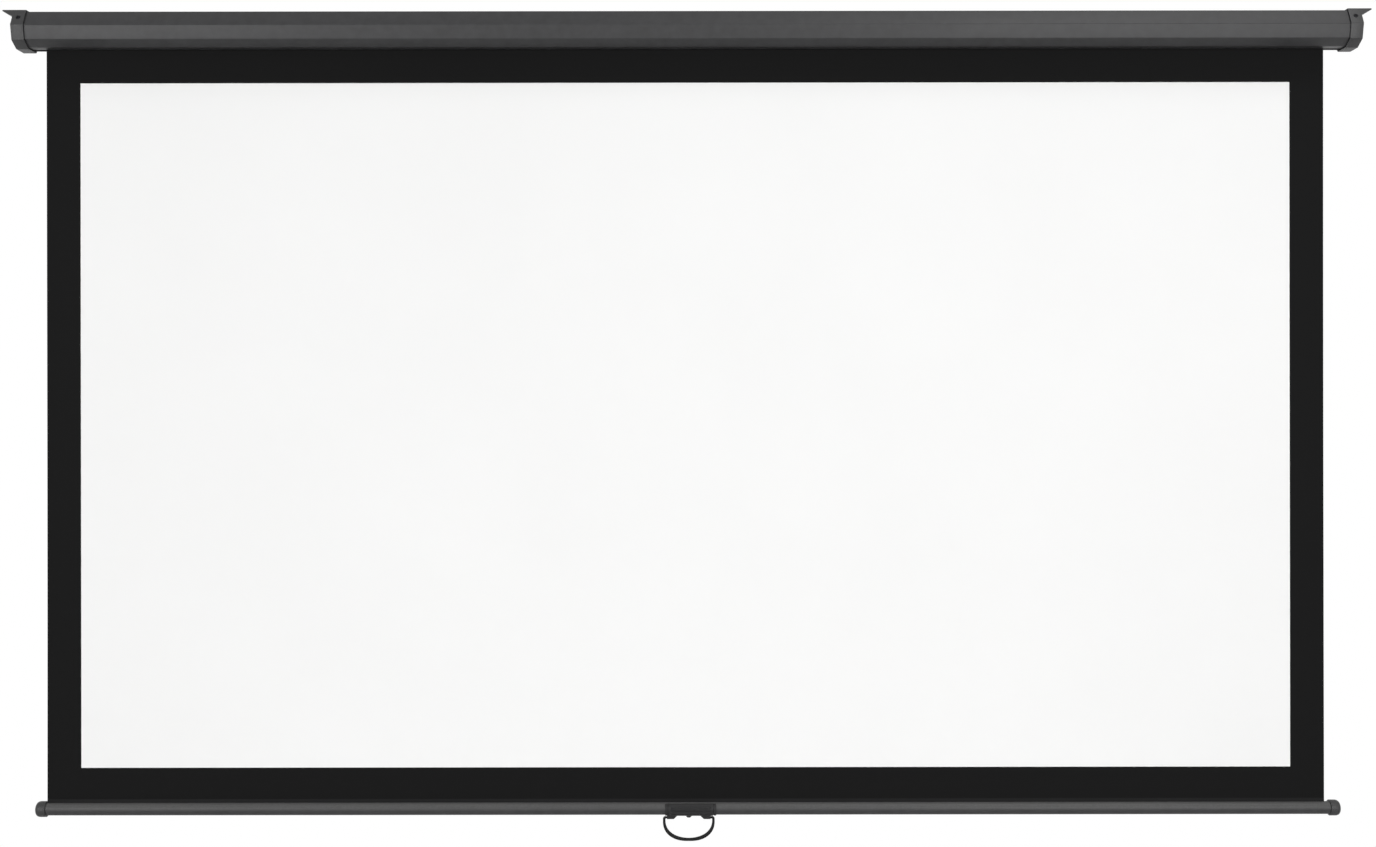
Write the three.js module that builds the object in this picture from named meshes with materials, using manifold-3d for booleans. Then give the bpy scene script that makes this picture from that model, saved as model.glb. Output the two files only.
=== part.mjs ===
// A manual pull down projector screen: an octagonal sheet metal case with moulded end caps and
// hanging ears, a spring roller with a pawl lock, the screen cloth, a round bottom bar and a
// pull handle. Millimetres. +X runs to the viewer's right, -Y faces the viewer, +Z is up.
// The origin is midway between the two ears, on their top face, over the line of the ear holes.
import * as THREE from 'three';
import { mergeVertices } from 'three/addons/utils/BufferGeometryUtils.js';
import Module from 'manifold-3d';

const wasm = await Module();
wasm.setup();

// Picture and cloth
const pictureWidth = 2210;
const pictureHeight = 1250;
const sideBorder = 62;
const topBorder = 60;
const bottomBorder = 65;
const clothOffset = -4;
const clothThickness = 0.45;
const whiteLayerThickness = 0.15;
const wrapPitch = 0.8;
const deadWraps = 2;
const windingTurns = 11;

// Fits and fillets
const seatGap = 0.3;
const slipGap = 0.1;
const overrun = 5;
const weldDepth = 1;
const bendRadius = 2.2;
const cornerSteps = 2;

// Roller tube
const rollerRadius = 16.5;
const rollerWall = 1.2;
const rollerEndRoom = 6;
const keyWidth = 3.4;
const keyDepth = 2.6;
const keyWall = 1;
const splineRadius = 1.2;
const flangeThickness = 3.5;
const flangeLip = 1;
const plugDepth = 24;
const plugLead = 1.2;

// Case
const caseWall = 1;
const rollerClearance = 8;
const depthAllowance = 1.5;
const rollerForward = 3;
const slotFrontRoom = 4.6;
const slotRearRoom = 3.6;
const lipHeight = 4;
const depthShares = [0.625, 0.92, 1, 0.78, 0.19, 0, 0, 0.14];
const dropShares = [1, 0.83, 0.44, 0, 0, 0.19, 0.855, 1];

// End caps
const capLip = 2.7;
const capWidth = 22.5;
const capEndWall = 5;
const capChamfer = 1.2;
const caseInsert = 16.5;
const plugWall = 2;
const plugStart = 3;
const ribThickness = 1.8;
const ribCount = 8;
const ribTurnShare = 0.5;
const lipClearance = 2.5;
const hubRadius = 10;
const hubReach = 8.5;
const earReach = 20;
const earRoot = 13;
const earTip = 2.6;
const earHoleRadius = 2.75;
const earHoleReach = 9;

// Cap screws
const screwRadius = 1.9;
const screwLength = 7.5;
const screwHeadRadius = 3.4;
const screwHeadHeight = 1.4;
const counterboreRadius = 4.2;
const counterboreDepth = 1.5;
const crossLength = 4;
const crossWidth = 1;
const crossDepth = 0.9;

// Idler end of the roller
const idlerPinRadius = 4;
const idlerPinGrip = 22;
const idlerPinNose = 1;
const bushWall = 2;

// Spring end of the roller
const arborRadius = 4.5;
const arborLength = 350;
const arborFlats = 6.4;
const springCoilRadius = 9;
const springWireRadius = 1;
const springPitch = 10;
const springTurns = 18;
const springSides = 4;
const springStepsPerTurn = 12;
const anchorLength = 16;
const bearingLength = 12;

// Pawl lock
const pivotRadius = 13;
const pawlPinRadius = 1.3;
const pawlPinHeadRadius = 2;
const pawlPinHead = 1;
const pawlPinDepth = 3;
const pawlThickness = 3.4;
const pawlBossRadius = 2.6;
const pawlTipRadius = 7.6;
const pawlTipHeight = 2.4;
const pawlLead = 45;
const pawlLift = 20;
const pawlAngles = { upper: 60, lower: 240 };
const ratchetRadius = 9;
const ratchetHubRadius = 6.5;
const ratchetHubLength = 4;
const notchCount = 4;
const notchDepth = 1.85;
const notchFaceLead = 48;
const notchFloorLead = 30;
const notchRampLead = -2;

// Bottom bar
const barRadius = 11.5;
const barWall = 1.3;
const barOverhang = 9.4;
const barSlotWidth = 2.4;
const barSlotDepth = 2;
const hemRodRadius = 3;
const hemPocketGap = 0.8;
const hemPocketWall = 1.2;
const hemRise = 6;
const barCapRadius = 14.25;
const barCapLength = 20.7;
const barCapSleeve = 5;
const barCapDome = 9;
const barCapSpigot = 12;

// Pull handle
const handleOffset = 1.5;
const clipOffset = 3.4;
const clipWidth = 93;
const clipWall = 1.8;
const clipOpening = 38;
const clipBandWidth = 70;
const clipEndWidth = 5;
const clipEndStep = 0.5;
const clipGrooveDepth = 0.6;
const clipGrooveHeight = 1.3;
const clipGrooveAngle = 41;
const clipRibHeight = 0.5;
const clipRibThickness = 1.4;
const clipRibAngles = [-16, 6];
const lugInner = 25.6;
const lugOuter = 40;
const lugRadius = 3.3;
const lugRootWidth = 10;
const pivotDrop = 16.5;
const tabWidth = 10;
const tabDrop = 17;
const tabDepth = 5;
const tabTipDepth = 2.5;
const bailHalfWidth = 45;
const bailLeg = 6;
const bailDrop = 34.5;
const bailBowShare = 0.89;
const bailWidth = 5.2;
const bailDepth = 5;
const bailStubRadius = 1.85;
const bailStubLength = 12;
const bailSteps = 32;
const bailSides = 8;

// Roundness of turned and curved faces
const roundSides = 32;
const smallSides = 20;
const wrapSides = 28;
const domeSteps = 5;

// Sizes worked out from those above
const clothWidth = pictureWidth + sideBorder + sideBorder;
const clothEdge = clothWidth / 2;
const woundRadius = rollerRadius + clothThickness * (deadWraps + windingTurns);
const caseHalfHeight = woundRadius + rollerClearance + caseWall;
const caseHeight = caseHalfHeight + caseHalfHeight;
const caseHalfDepth = caseHalfHeight + depthAllowance - caseWall / 2;
const caseDepth = caseHalfDepth + caseHalfDepth;
const caseTop = -capLip - seatGap;
const caseBottom = caseTop - caseHeight;
const axisY = -rollerForward;
const axisZ = caseTop - caseHalfHeight;
const wrapStart = rollerRadius + seatGap + clothThickness / 2;
const clothY = axisY + wrapStart + wrapPitch * deadWraps;
const slotFront = clothY - slotFrontRoom;
const slotRear = clothY + slotRearRoom;
const rollerEnd = clothEdge + rollerEndRoom;
const flangeStart = rollerEnd + seatGap;
const flangeEnd = flangeStart + flangeThickness;
const lockStart = flangeEnd + seatGap;
const lockEnd = lockStart + pawlThickness;
const hubFace = lockEnd + ratchetHubLength + seatGap + seatGap;
const seamX = hubFace + hubReach;
const hubFloor = seamX + capWidth - capEndWall;
const caseEnd = seamX + caseInsert;
const pictureTop = caseBottom - topBorder;
const pictureBottom = pictureTop - pictureHeight;
const barTop = pictureBottom - bottomBorder;
const barZ = barTop - barRadius;
const barEnd = clothEdge + barOverhang;
const pocketRadius = hemRodRadius + clothThickness + hemPocketGap;
const pocketZ = barRadius - barSlotDepth - pocketRadius;
const clipInner = barRadius + seatGap;
const clipOuter = clipInner + clipWall;

// Helpers for outlines in the section plane, where x stands for Y and y for Z

function polar(radius, degrees) {
  const turn = THREE.MathUtils.degToRad(degrees);
  return new THREE.Vector2(radius * Math.cos(turn), radius * Math.sin(turn));
}

function arc(radius, fromDegrees, toDegrees, sides, centreX = 0, centreY = 0) {
  const centre = new THREE.Vector2(centreX, centreY);
  return Array.from({ length: sides + 1 }, (_, index) => {
    const degrees = fromDegrees + ((toDegrees - fromDegrees) * index) / sides;
    return polar(radius, degrees).add(centre);
  });
}

function circle(radius, sides, centreX = 0, centreY = 0) {
  return arc(radius, 0, 360, sides, centreX, centreY).slice(0, sides);
}

// An arc with its gap at the top, the same angle to both sides
function openArc(radius, openDegrees, sides, centreY = 0) {
  return arc(radius, 90 + openDegrees, 450 - openDegrees, sides, 0, centreY);
}

function rectangle(left, bottom, right, top) {
  return [
    new THREE.Vector2(left, bottom),
    new THREE.Vector2(right, bottom),
    new THREE.Vector2(right, top),
    new THREE.Vector2(left, top),
  ];
}

function offsetOutline(points, distance) {
  const side = THREE.ShapeUtils.area(points) > 0 ? 1 : -1;
  const lines = points.map((point, index) => {
    const along = points[(index + 1) % points.length].clone().sub(point).normalize();
    const outward = new THREE.Vector2(along.y, -along.x).multiplyScalar(side);
    return { start: point.clone().addScaledVector(outward, distance), along };
  });
  return lines.map((line, index) => {
    const before = lines[(index + lines.length - 1) % lines.length];
    const gap = line.start.clone().sub(before.start);
    const reach = gap.cross(line.along) / before.along.cross(line.along);
    return before.start.clone().addScaledVector(before.along, reach);
  });
}

function roundedOutline(points, radius) {
  return points.flatMap((corner, index) => {
    const toBefore = points[(index + points.length - 1) % points.length].clone().sub(corner);
    const toNext = points[(index + 1) % points.length].clone().sub(corner);
    const half = Math.acos(toBefore.dot(toNext) / (toBefore.length() * toNext.length())) / 2;
    const shortest = Math.min(toBefore.length(), toNext.length());
    const cut = Math.min(radius / Math.tan(half), shortest / 3);
    const start = toBefore.setLength(cut).add(corner);
    const end = toNext.setLength(cut).add(corner);
    return new THREE.QuadraticBezierCurve(start, corner, end).getPoints(cornerSteps);
  });
}

// Helpers for solids

function cleaned(geometry) {
  const bare = geometry.clone();
  bare.deleteAttribute('normal');
  bare.deleteAttribute('uv');
  const merged = mergeVertices(bare);
  const index = Array.from(merged.index.array);
  const kept = [];
  for (let at = 0; at < index.length; at += 3) {
    const [a, b, c] = index.slice(at, at + 3);
    if (a !== b && b !== c && c !== a) kept.push(a, b, c);
  }
  merged.setIndex(kept);
  return signedVolume(merged) < 0 ? flipped(merged) : merged;
}

function signedVolume(geometry) {
  const place = geometry.attributes.position;
  const index = geometry.index.array;
  const corner = () => new THREE.Vector3();
  let total = 0;
  for (let at = 0; at < index.length; at += 3) {
    const [a, b, c] = [0, 1, 2].map((k) => corner().fromBufferAttribute(place, index[at + k]));
    total += a.dot(b.cross(c));
  }
  return total;
}

function flipped(geometry) {
  const index = geometry.index.array;
  const turned = [];
  for (let at = 0; at < index.length; at += 3) turned.push(index[at], index[at + 2], index[at + 1]);
  geometry.setIndex(turned);
  return geometry;
}

function solid(geometry) {
  const ready = cleaned(geometry);
  return new wasm.Manifold(
    new wasm.Mesh({
      numProp: 3,
      vertProperties: new Float32Array(ready.attributes.position.array),
      triVerts: new Uint32Array(ready.index.array),
    }),
  );
}

function geometryOf(manifold) {
  const mesh = manifold.getMesh();
  const geometry = new THREE.BufferGeometry();
  geometry.setAttribute('position', new THREE.BufferAttribute(new Float32Array(mesh.vertProperties), 3));
  geometry.setIndex(new THREE.BufferAttribute(new Uint32Array(mesh.triVerts), 1));
  return geometry;
}

function join(...pieces) {
  return pieces.reduce((whole, piece) => whole.add(piece));
}

function cut(piece, ...tools) {
  return tools.reduce((left, tool) => left.subtract(tool), piece);
}

const sectionToWorld = new THREE.Matrix4().makeBasis(
  new THREE.Vector3(0, 1, 0),
  new THREE.Vector3(0, 0, 1),
  new THREE.Vector3(1, 0, 0),
);

const elevationToWorld = new THREE.Matrix4().makeBasis(
  new THREE.Vector3(1, 0, 0),
  new THREE.Vector3(0, 0, 1),
  new THREE.Vector3(0, -1, 0),
);

// A section drawn in Y and Z, drawn out along X
function barSolid(points, fromX, toX, holes = []) {
  const leftTurning = THREE.ShapeUtils.area(points) > 0;
  const shape = new THREE.Shape(leftTurning ? points : [...points].reverse());
  shape.holes = holes.map((hole) => new THREE.Path(hole));
  const geometry = new THREE.ExtrudeGeometry(shape, { depth: toX - fromX, bevelEnabled: false });
  return solid(geometry.applyMatrix4(sectionToWorld).translate(fromX, 0, 0));
}

// An outline drawn in X and Z, drawn out along Y about the middle plane
function slabSolid(points, halfDepth) {
  const shape = new THREE.Shape(points);
  const geometry = new THREE.ExtrudeGeometry(shape, { depth: halfDepth * 2, bevelEnabled: false });
  return solid(geometry.applyMatrix4(elevationToWorld).translate(0, halfDepth, 0));
}

// A turned piece: profile points hold the radius and the place along X
function turnedSolid(profile, sides) {
  const points = profile.map(([radius, along]) => new THREE.Vector2(radius, along));
  return solid(new THREE.LatheGeometry(points, sides).rotateZ(-Math.PI / 2));
}

function rodSolid(radius, fromX, toX, sides) {
  return barSolid(circle(radius, sides), fromX, toX);
}

// A round rod that starts at a point and runs along a direction
function pegSolid(radius, length, start, direction) {
  const geometry = new THREE.CylinderGeometry(radius, radius, length, smallSides);
  geometry.translate(0, length / 2, 0);
  const turn = new THREE.Quaternion().setFromUnitVectors(new THREE.Vector3(0, 1, 0), direction);
  return solid(geometry.applyQuaternion(turn).translate(start.x, start.y, start.z));
}

// Rings of equal point counts, joined along X and closed at both ends
function loftSolid(rings) {
  const count = rings[0].points.length;
  const place = rings.flatMap(({ x, points }) => points.flatMap((point) => [x, point.x, point.y]));
  const index = [];
  for (let ring = 0; ring + 1 < rings.length; ring += 1) {
    for (let at = 0; at < count; at += 1) {
      const next = (at + 1) % count;
      const low = ring * count;
      const high = low + count;
      index.push(low + at, low + next, high + next, low + at, high + next, high + at);
    }
  }
  const last = (rings.length - 1) * count;
  for (const [a, b, c] of THREE.ShapeUtils.triangulateShape(rings[0].points, [])) {
    const reversed = THREE.ShapeUtils.area(rings[0].points) > 0;
    index.push(...(reversed ? [a, c, b] : [a, b, c]));
  }
  for (const [a, b, c] of THREE.ShapeUtils.triangulateShape(rings.at(-1).points, [])) {
    const forward = THREE.ShapeUtils.area(rings.at(-1).points) > 0;
    index.push(...(forward ? [last + a, last + b, last + c] : [last + a, last + c, last + b]));
  }
  const geometry = new THREE.BufferGeometry();
  geometry.setAttribute('position', new THREE.Float32BufferAttribute(place, 3));
  geometry.setIndex(index);
  return solid(geometry);
}

function mirrored(manifold) {
  const geometry = geometryOf(manifold);
  geometry.scale(-1, 1, 1);
  return solid(flipped(geometry));
}

// Materials: colour, roughness and metalness of each finish
const finishes = {
  casePaint: [0x4d4d4f, 0.45, 0.1],
  capPlastic: [0x565658, 0.55, 0],
  barPaint: [0x58585a, 0.4, 0.1],
  handlePlastic: [0x3a3a3c, 0.5, 0],
  bailPlastic: [0x1d1d1f, 0.5, 0],
  blackCloth: [0x1c1c1c, 0.85, 0],
  whiteCloth: [0xf6f6f4, 0.9, 0],
  steel: [0xa9abad, 0.35, 0.9],
  blackSteel: [0x2b2b2d, 0.4, 0.8],
  aluminium: [0xb9bbbd, 0.4, 0.8],
  nylon: [0xe6e2d6, 0.6, 0],
};

const screen = new THREE.Group();

function addPiece(name, manifold, finish, place = [0, 0, 0]) {
  const [color, roughness, metalness] = finishes[finish];
  const material = new THREE.MeshStandardMaterial({ color, roughness, metalness });
  const mesh = new THREE.Mesh(geometryOf(manifold), material);
  mesh.name = name;
  mesh.position.set(...place);
  screen.add(mesh);
  return mesh;
}

// Case: the eight corners of its section, from the front bottom edge up, over and down the back
function caseCorners(outset) {
  const corners = depthShares.map((share, index) => {
    const y = caseHalfDepth - share * caseDepth;
    return new THREE.Vector2(y, caseTop - dropShares[index] * caseHeight);
  });
  return offsetOutline(corners, outset);
}

function caseOutline(outset) {
  return roundedOutline(caseCorners(outset), bendRadius + outset);
}

// The front and rear upper facets carry the cap screws
function screwFacets() {
  const corners = caseCorners(0);
  return { front: [corners[2], corners[3]], rear: [corners[4], corners[5]] };
}

function screwAxis([start, end]) {
  const along = end.clone().sub(start).normalize();
  const middle = start.clone().add(end).multiplyScalar(0.5);
  const outward = new THREE.Vector3(0, -along.y, along.x);
  return { point: new THREE.Vector3(seamX + capWidth / 2, middle.x, middle.y), outward };
}

function caseTube() {
  const lipTop = caseBottom + lipHeight;
  const floor = caseBottom + caseWall;
  const rearLip = rectangle(slotRear, caseBottom, slotRear + caseWall, lipTop);
  const frontLip = rectangle(slotFront - caseWall, caseBottom, slotFront, lipTop);
  const profile = [
    new THREE.Vector2(slotFront, caseBottom),
    ...caseOutline(0),
    new THREE.Vector2(slotRear, caseBottom),
    rearLip[3],
    rearLip[2],
    new THREE.Vector2(slotRear + caseWall, floor),
    ...caseOutline(-caseWall).reverse(),
    new THREE.Vector2(slotFront - caseWall, floor),
    frontLip[3],
    frontLip[2],
  ];
  const shell = barSolid(profile, -caseEnd, caseEnd);
  return cut(shell, ...Object.values(screwFacets()).flatMap((facet) => {
    const { point, outward } = screwAxis(facet);
    const start = point.clone().addScaledVector(outward, -overrun);
    const hole = pegSolid(screwRadius + seatGap, overrun + overrun, start, outward);
    return [hole, mirrored(hole)];
  }));
}

// End caps: an outer sleeve, an inner plug with ribs, a hub for the roller and a hanging ear
function capRib(index) {
  const turn = ((index + ribTurnShare) / ribCount) * Math.PI * 2;
  const half = ribThickness / 2;
  const outline = rectangle(-caseDepth, -half, caseDepth, half).map((point) => {
    return point.rotateAround(new THREE.Vector2(), turn).add(new THREE.Vector2(axisY, axisZ));
  });
  return barSolid(outline, seamX + plugStart, hubFloor);
}

function capPlug() {
  const outer = roundedOutline(caseCorners(-caseWall - seatGap), bendRadius);
  const inner = offsetOutline(caseCorners(-caseWall - seatGap), -plugWall);
  const wall = barSolid(outer, seamX + plugStart, hubFloor, [inner]);
  const ribs = Array.from({ length: ribCount / 2 }, (_, index) => capRib(index));
  const ribbed = join(...ribs).intersect(barSolid(outer, seamX, hubFloor));
  const lips = rectangle(
    slotFront - caseWall - lipClearance,
    caseBottom - overrun,
    slotRear + caseWall + lipClearance,
    caseBottom + lipHeight + lipClearance,
  );
  return cut(join(wall, ribbed), barSolid(lips, seamX, caseEnd + seatGap));
}

function capEar() {
  const outline = roundedOutline(caseCorners(seatGap + capLip), bendRadius + capLip);
  const faceX = seamX + capWidth;
  const slice = barSolid(outline, faceX - capEndWall, faceX + earReach);
  const wedge = slabSolid(
    [
      new THREE.Vector2(faceX - capEndWall, overrun),
      new THREE.Vector2(faceX - capEndWall, -earRoot),
      new THREE.Vector2(faceX, -earRoot),
      new THREE.Vector2(faceX + earReach, -earTip),
      new THREE.Vector2(faceX + earReach, overrun),
    ],
    caseDepth,
  );
  const start = new THREE.Vector3(faceX + earHoleReach, 0, -earRoot - overrun);
  const hole = pegSolid(earHoleRadius, earRoot + overrun * 2, start, new THREE.Vector3(0, 0, 1));
  return cut(slice.intersect(wedge), hole);
}

function capShell() {
  const faceX = seamX + capWidth;
  const outset = seatGap + capLip;
  const body = loftSolid([
    { x: seamX, points: roundedOutline(caseCorners(outset), bendRadius + capLip) },
    { x: faceX - capChamfer, points: roundedOutline(caseCorners(outset), bendRadius + capLip) },
    { x: faceX, points: roundedOutline(caseCorners(outset - capChamfer), bendRadius + capLip) },
  ]);
  const pocket = barSolid(caseOutline(seatGap), seamX - overrun, faceX - capEndWall);
  return cut(body, pocket);
}

function screwCuts() {
  return Object.values(screwFacets()).flatMap((facet) => {
    const { point, outward } = screwAxis(facet);
    const floor = point.clone().addScaledVector(outward, seatGap + capLip - counterboreDepth);
    const bottom = point.clone().addScaledVector(outward, -screwLength);
    return [
      pegSolid(counterboreRadius, overrun, floor, outward),
      pegSolid(screwRadius + seatGap, screwLength + capLip, bottom, outward),
    ];
  });
}

// A rod with two flats, above and below its axis
function flattedRod(radius, acrossFlats, fromX, toX) {
  const half = acrossFlats / 2;
  const between = barSolid(rectangle(-radius * 2, -half, radius * 2, half), fromX, toX);
  return rodSolid(radius, fromX, toX, smallSides).intersect(between);
}

function endCap(socket) {
  const hubRim = circle(hubRadius, roundSides, axisY, axisZ);
  const hub = barSolid(hubRim, hubFace, hubFloor + weldDepth);
  const moulded = join(capShell(), capPlug(), hub, capEar());
  return cut(moulded, socket.translate(0, axisY, axisZ), ...screwCuts());
}

function capScrew() {
  const rim = screwHeadHeight / 2;
  const profile = [
    [0, -screwLength],
    [screwRadius / 2, -screwLength],
    [screwRadius, -screwLength + screwRadius],
    [screwRadius, 0],
    [screwHeadRadius, 0],
    [screwHeadRadius, rim],
    [screwHeadRadius - rim, screwHeadHeight],
    [0, screwHeadHeight],
  ].map(([radius, along]) => new THREE.Vector2(radius, along));
  const length = crossLength / 2;
  const width = crossWidth / 2;
  const floor = screwHeadHeight - crossDepth;
  const slot = slabSolid(rectangle(-length, floor, length, screwHeadHeight + overrun), width);
  const cross = join(slot.rotate([-90, 0, 0]), slot.rotate([-90, 90, 0]));
  return cut(solid(new THREE.LatheGeometry(profile, smallSides)), cross);
}

function addCapScrews() {
  for (const [side, sign] of Object.entries({ left: -1, right: 1 })) {
    for (const [end, facet] of Object.entries(screwFacets())) {
      const { point, outward } = screwAxis(facet);
      const floor = seatGap + capLip - counterboreDepth + seatGap / 2;
      const place = point.clone().addScaledVector(outward, floor);
      const screw = addPiece(`cap_screw_${side}_${end}`, capScrew(), 'blackSteel', [
        sign * place.x,
        place.y,
        place.z,
      ]);
      screw.quaternion.setFromUnitVectors(new THREE.Vector3(0, 1, 0), outward);
    }
  }
}

// Roller: a tube with a keyway that grips the cloth, about its own axis
const rollerAxis = [0, axisY, axisZ];

function keyway(halfWidth, depth, fromX, toX) {
  const outline = rectangle(-halfWidth, rollerRadius - depth, halfWidth, rollerRadius + overrun);
  return barSolid(outline, fromX, toX);
}

function rollerTube() {
  const bore = rollerRadius - rollerWall;
  const ring = barSolid(circle(rollerRadius, roundSides), -rollerEnd, rollerEnd, [
    circle(bore, roundSides),
  ]);
  const block = keyway(keyWidth / 2 + keyWall, keyDepth + keyWall, -rollerEnd, rollerEnd);
  const channel = block.intersect(rodSolid(rollerRadius - keyWall / 2, -rollerEnd, rollerEnd, roundSides));
  const groove = keyway(keyWidth / 2, keyDepth, -rollerEnd - overrun, rollerEnd + overrun);
  return cut(join(ring, channel), groove);
}

// A plug for the tube's end: a flange outside, a body inside with room for the keyway
function tubePlug(boreRadius, fromX, toX) {
  const bore = rollerRadius - rollerWall - seatGap;
  const profile = [
    [boreRadius, fromX],
    [bore - plugLead, fromX],
    [bore, fromX + plugLead],
    [bore, toX],
    [boreRadius, toX],
    [boreRadius, fromX],
  ];
  const room = keyway(keyWidth / 2 + keyWall + seatGap, keyDepth + keyWall + seatGap, fromX, rollerEnd);
  return cut(turnedSolid(profile, roundSides), room);
}

function plugFlange(boreRadius) {
  return barSolid(circle(rollerRadius + flangeLip, roundSides), flangeStart, flangeEnd, [
    circle(boreRadius, roundSides),
  ]);
}

function idlerPlug() {
  const bore = idlerPinRadius + slipGap + bushWall + slipGap;
  const body = tubePlug(bore, rollerEnd - plugDepth, flangeStart);
  return mirrored(join(body, plugFlange(bore)));
}

function idlerBush() {
  const bore = idlerPinRadius + slipGap;
  const ring = barSolid(circle(bore + bushWall, roundSides), rollerEnd - plugDepth, flangeEnd, [
    circle(bore, roundSides),
  ]);
  return mirrored(ring);
}

function idlerPin() {
  const tip = flangeEnd - idlerPinGrip;
  const root = hubFloor - seatGap;
  return mirrored(
    turnedSolid(
      [
        [0, tip],
        [idlerPinRadius - idlerPinNose, tip],
        [idlerPinRadius, tip + idlerPinNose],
        [idlerPinRadius, root],
        [0, root],
      ],
      roundSides,
    ),
  );
}

// Spring arbor: a fixed rod whose flatted end sits in the right cap and carries the ratchet
const arborTip = lockStart - arborLength;
const anchorStart = arborTip + bearingLength + seatGap;
const springStart = anchorStart + anchorLength + springWireRadius + seatGap;

function springArbor() {
  const root = hubFloor - seatGap;
  const half = arborFlats / 2;
  const rod = rodSolid(arborRadius, arborTip, root, smallSides);
  const above = rectangle(-arborRadius * 2, half, arborRadius * 2, arborRadius * 2);
  const flat = barSolid(above, lockStart - seatGap / 2, root + overrun);
  return cut(rod, flat, flat.rotate([180, 0, 0]));
}

function springAnchor() {
  const flatOfCoil = springCoilRadius * Math.cos(Math.PI / springStepsPerTurn);
  const grip = flatOfCoil - springWireRadius - seatGap;
  const stop = anchorStart + anchorLength;
  const bore = arborRadius + slipGap;
  const profile = [
    [bore, anchorStart],
    [springCoilRadius + springWireRadius, anchorStart],
    [springCoilRadius + springWireRadius, stop],
    [grip, stop],
    [grip, stop + springPitch],
    [bore, stop + springPitch],
    [bore, anchorStart],
  ];
  return turnedSolid(profile, roundSides);
}

function arborBearing() {
  const bore = arborRadius + slipGap;
  const outer = rollerRadius - rollerWall - seatGap;
  const ring = barSolid(circle(outer, roundSides), arborTip, arborTip + bearingLength, [
    circle(bore, roundSides),
  ]);
  const room = keyway(
    keyWidth / 2 + keyWall + seatGap,
    keyDepth + keyWall + seatGap,
    arborTip - overrun,
    arborTip + bearingLength + overrun,
  );
  return cut(ring, room);
}

class SpringPath extends THREE.Curve {
  getPoint(share, target = new THREE.Vector3()) {
    const turn = share * springTurns * Math.PI * 2;
    return target.set(
      springStart + share * springTurns * springPitch,
      springCoilRadius * Math.cos(turn),
      springCoilRadius * Math.sin(turn),
    );
  }
}

function torsionSpring() {
  const wire = new THREE.Shape(circle(springWireRadius, springSides));
  const steps = springTurns * springStepsPerTurn;
  const options = { steps, extrudePath: new SpringPath(), bevelEnabled: false };
  return solid(new THREE.ExtrudeGeometry(wire, options));
}

function spearRoom(fromX, toX) {
  return flattedRod(arborRadius + slipGap, arborFlats + slipGap + slipGap, fromX, toX);
}

// Pawl lock: two pawls on the turning carrier drop into the notches of the fixed ratchet
function pawlCarrier() {
  const bore = arborRadius + slipGap;
  const springRoom = springCoilRadius + springWireRadius + seatGap;
  const springEnd = springStart + springTurns * springPitch;
  const body = tubePlug(springRoom, springEnd + seatGap, flangeStart);
  const bodyFill = barSolid(circle(springRoom + slipGap, roundSides), springEnd + plugDepth, flangeEnd, [
    circle(bore, roundSides),
  ]);
  const pins = Object.values(pawlAngles).map((degrees) => {
    const centre = polar(pivotRadius, degrees);
    const hole = circle(pawlPinRadius + slipGap, smallSides, centre.x, centre.y);
    return barSolid(hole, flangeEnd - pawlPinDepth, flangeEnd + overrun);
  });
  return cut(join(body, bodyFill, plugFlange(bore)), ...pins);
}

function pawlPin() {
  const start = flangeEnd - pawlPinDepth + seatGap;
  const headStart = lockEnd + seatGap;
  return turnedSolid(
    [
      [0, start],
      [pawlPinRadius, start],
      [pawlPinRadius, headStart],
      [pawlPinHeadRadius, headStart],
      [pawlPinHeadRadius, headStart + pawlPinHead],
      [0, headStart + pawlPinHead],
    ],
    smallSides,
  );
}

// The pawl about its pin, lifted clear: a boss, a straight inner edge and a square nose
function pawl(degrees) {
  const pivot = polar(pivotRadius, 0);
  const inner = polar(pawlTipRadius, pawlLead).sub(pivot);
  const outer = polar(pawlTipRadius + pawlTipHeight, pawlLead).sub(pivot);
  const heading = THREE.MathUtils.radToDeg(inner.angle());
  const boss = arc(pawlBossRadius, heading + 90, heading + 270, smallSides);
  const turn = THREE.MathUtils.degToRad(degrees - pawlLift);
  const placed = [...boss, outer, inner].map((point) => {
    return point.clone().rotateAround(new THREE.Vector2(), turn);
  });
  const lever = barSolid(placed, lockStart, lockEnd);
  const hole = rodSolid(pawlPinRadius + slipGap, lockStart - overrun, lockEnd + overrun, smallSides);
  return cut(lever, hole);
}

function ratchetWheel() {
  const pitch = 360 / notchCount;
  const outline = Array.from({ length: notchCount }, (_, index) => {
    const base = pawlAngles.upper + index * pitch;
    const floor = ratchetRadius - notchDepth;
    const face = base + notchFaceLead;
    return [
      polar(ratchetRadius, base + notchRampLead),
      ...arc(floor, base + notchFloorLead, face, cornerSteps),
      ...arc(ratchetRadius, face, base + notchRampLead + pitch, smallSides / notchCount).slice(0, -1),
    ];
  }).flat();
  const wheel = barSolid(outline, lockStart, lockEnd);
  const hub = rodSolid(ratchetHubRadius, lockStart, lockEnd + ratchetHubLength, smallSides);
  return cut(join(wheel, hub), spearRoom(lockStart - overrun, hubFace + overrun));
}

// Cloth: the wraps left on the roller, the hanging sheet, its white face and its hem
function spiralPoint(turns, side) {
  const radius = wrapStart + wrapPitch * turns + (side * clothThickness) / 2;
  return polar(radius, (deadWraps - turns) * 360);
}

function woundCloth() {
  const steps = deadWraps * wrapSides;
  const outside = Array.from({ length: steps + 1 }, (_, index) => spiralPoint(index / wrapSides, 1));
  const inside = Array.from({ length: steps + 1 }, (_, index) => spiralPoint(index / wrapSides, -1));
  return barSolid([...outside, ...inside.reverse()], -clothEdge, clothEdge);
}

const hemTop = barTop + hemRise;

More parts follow.
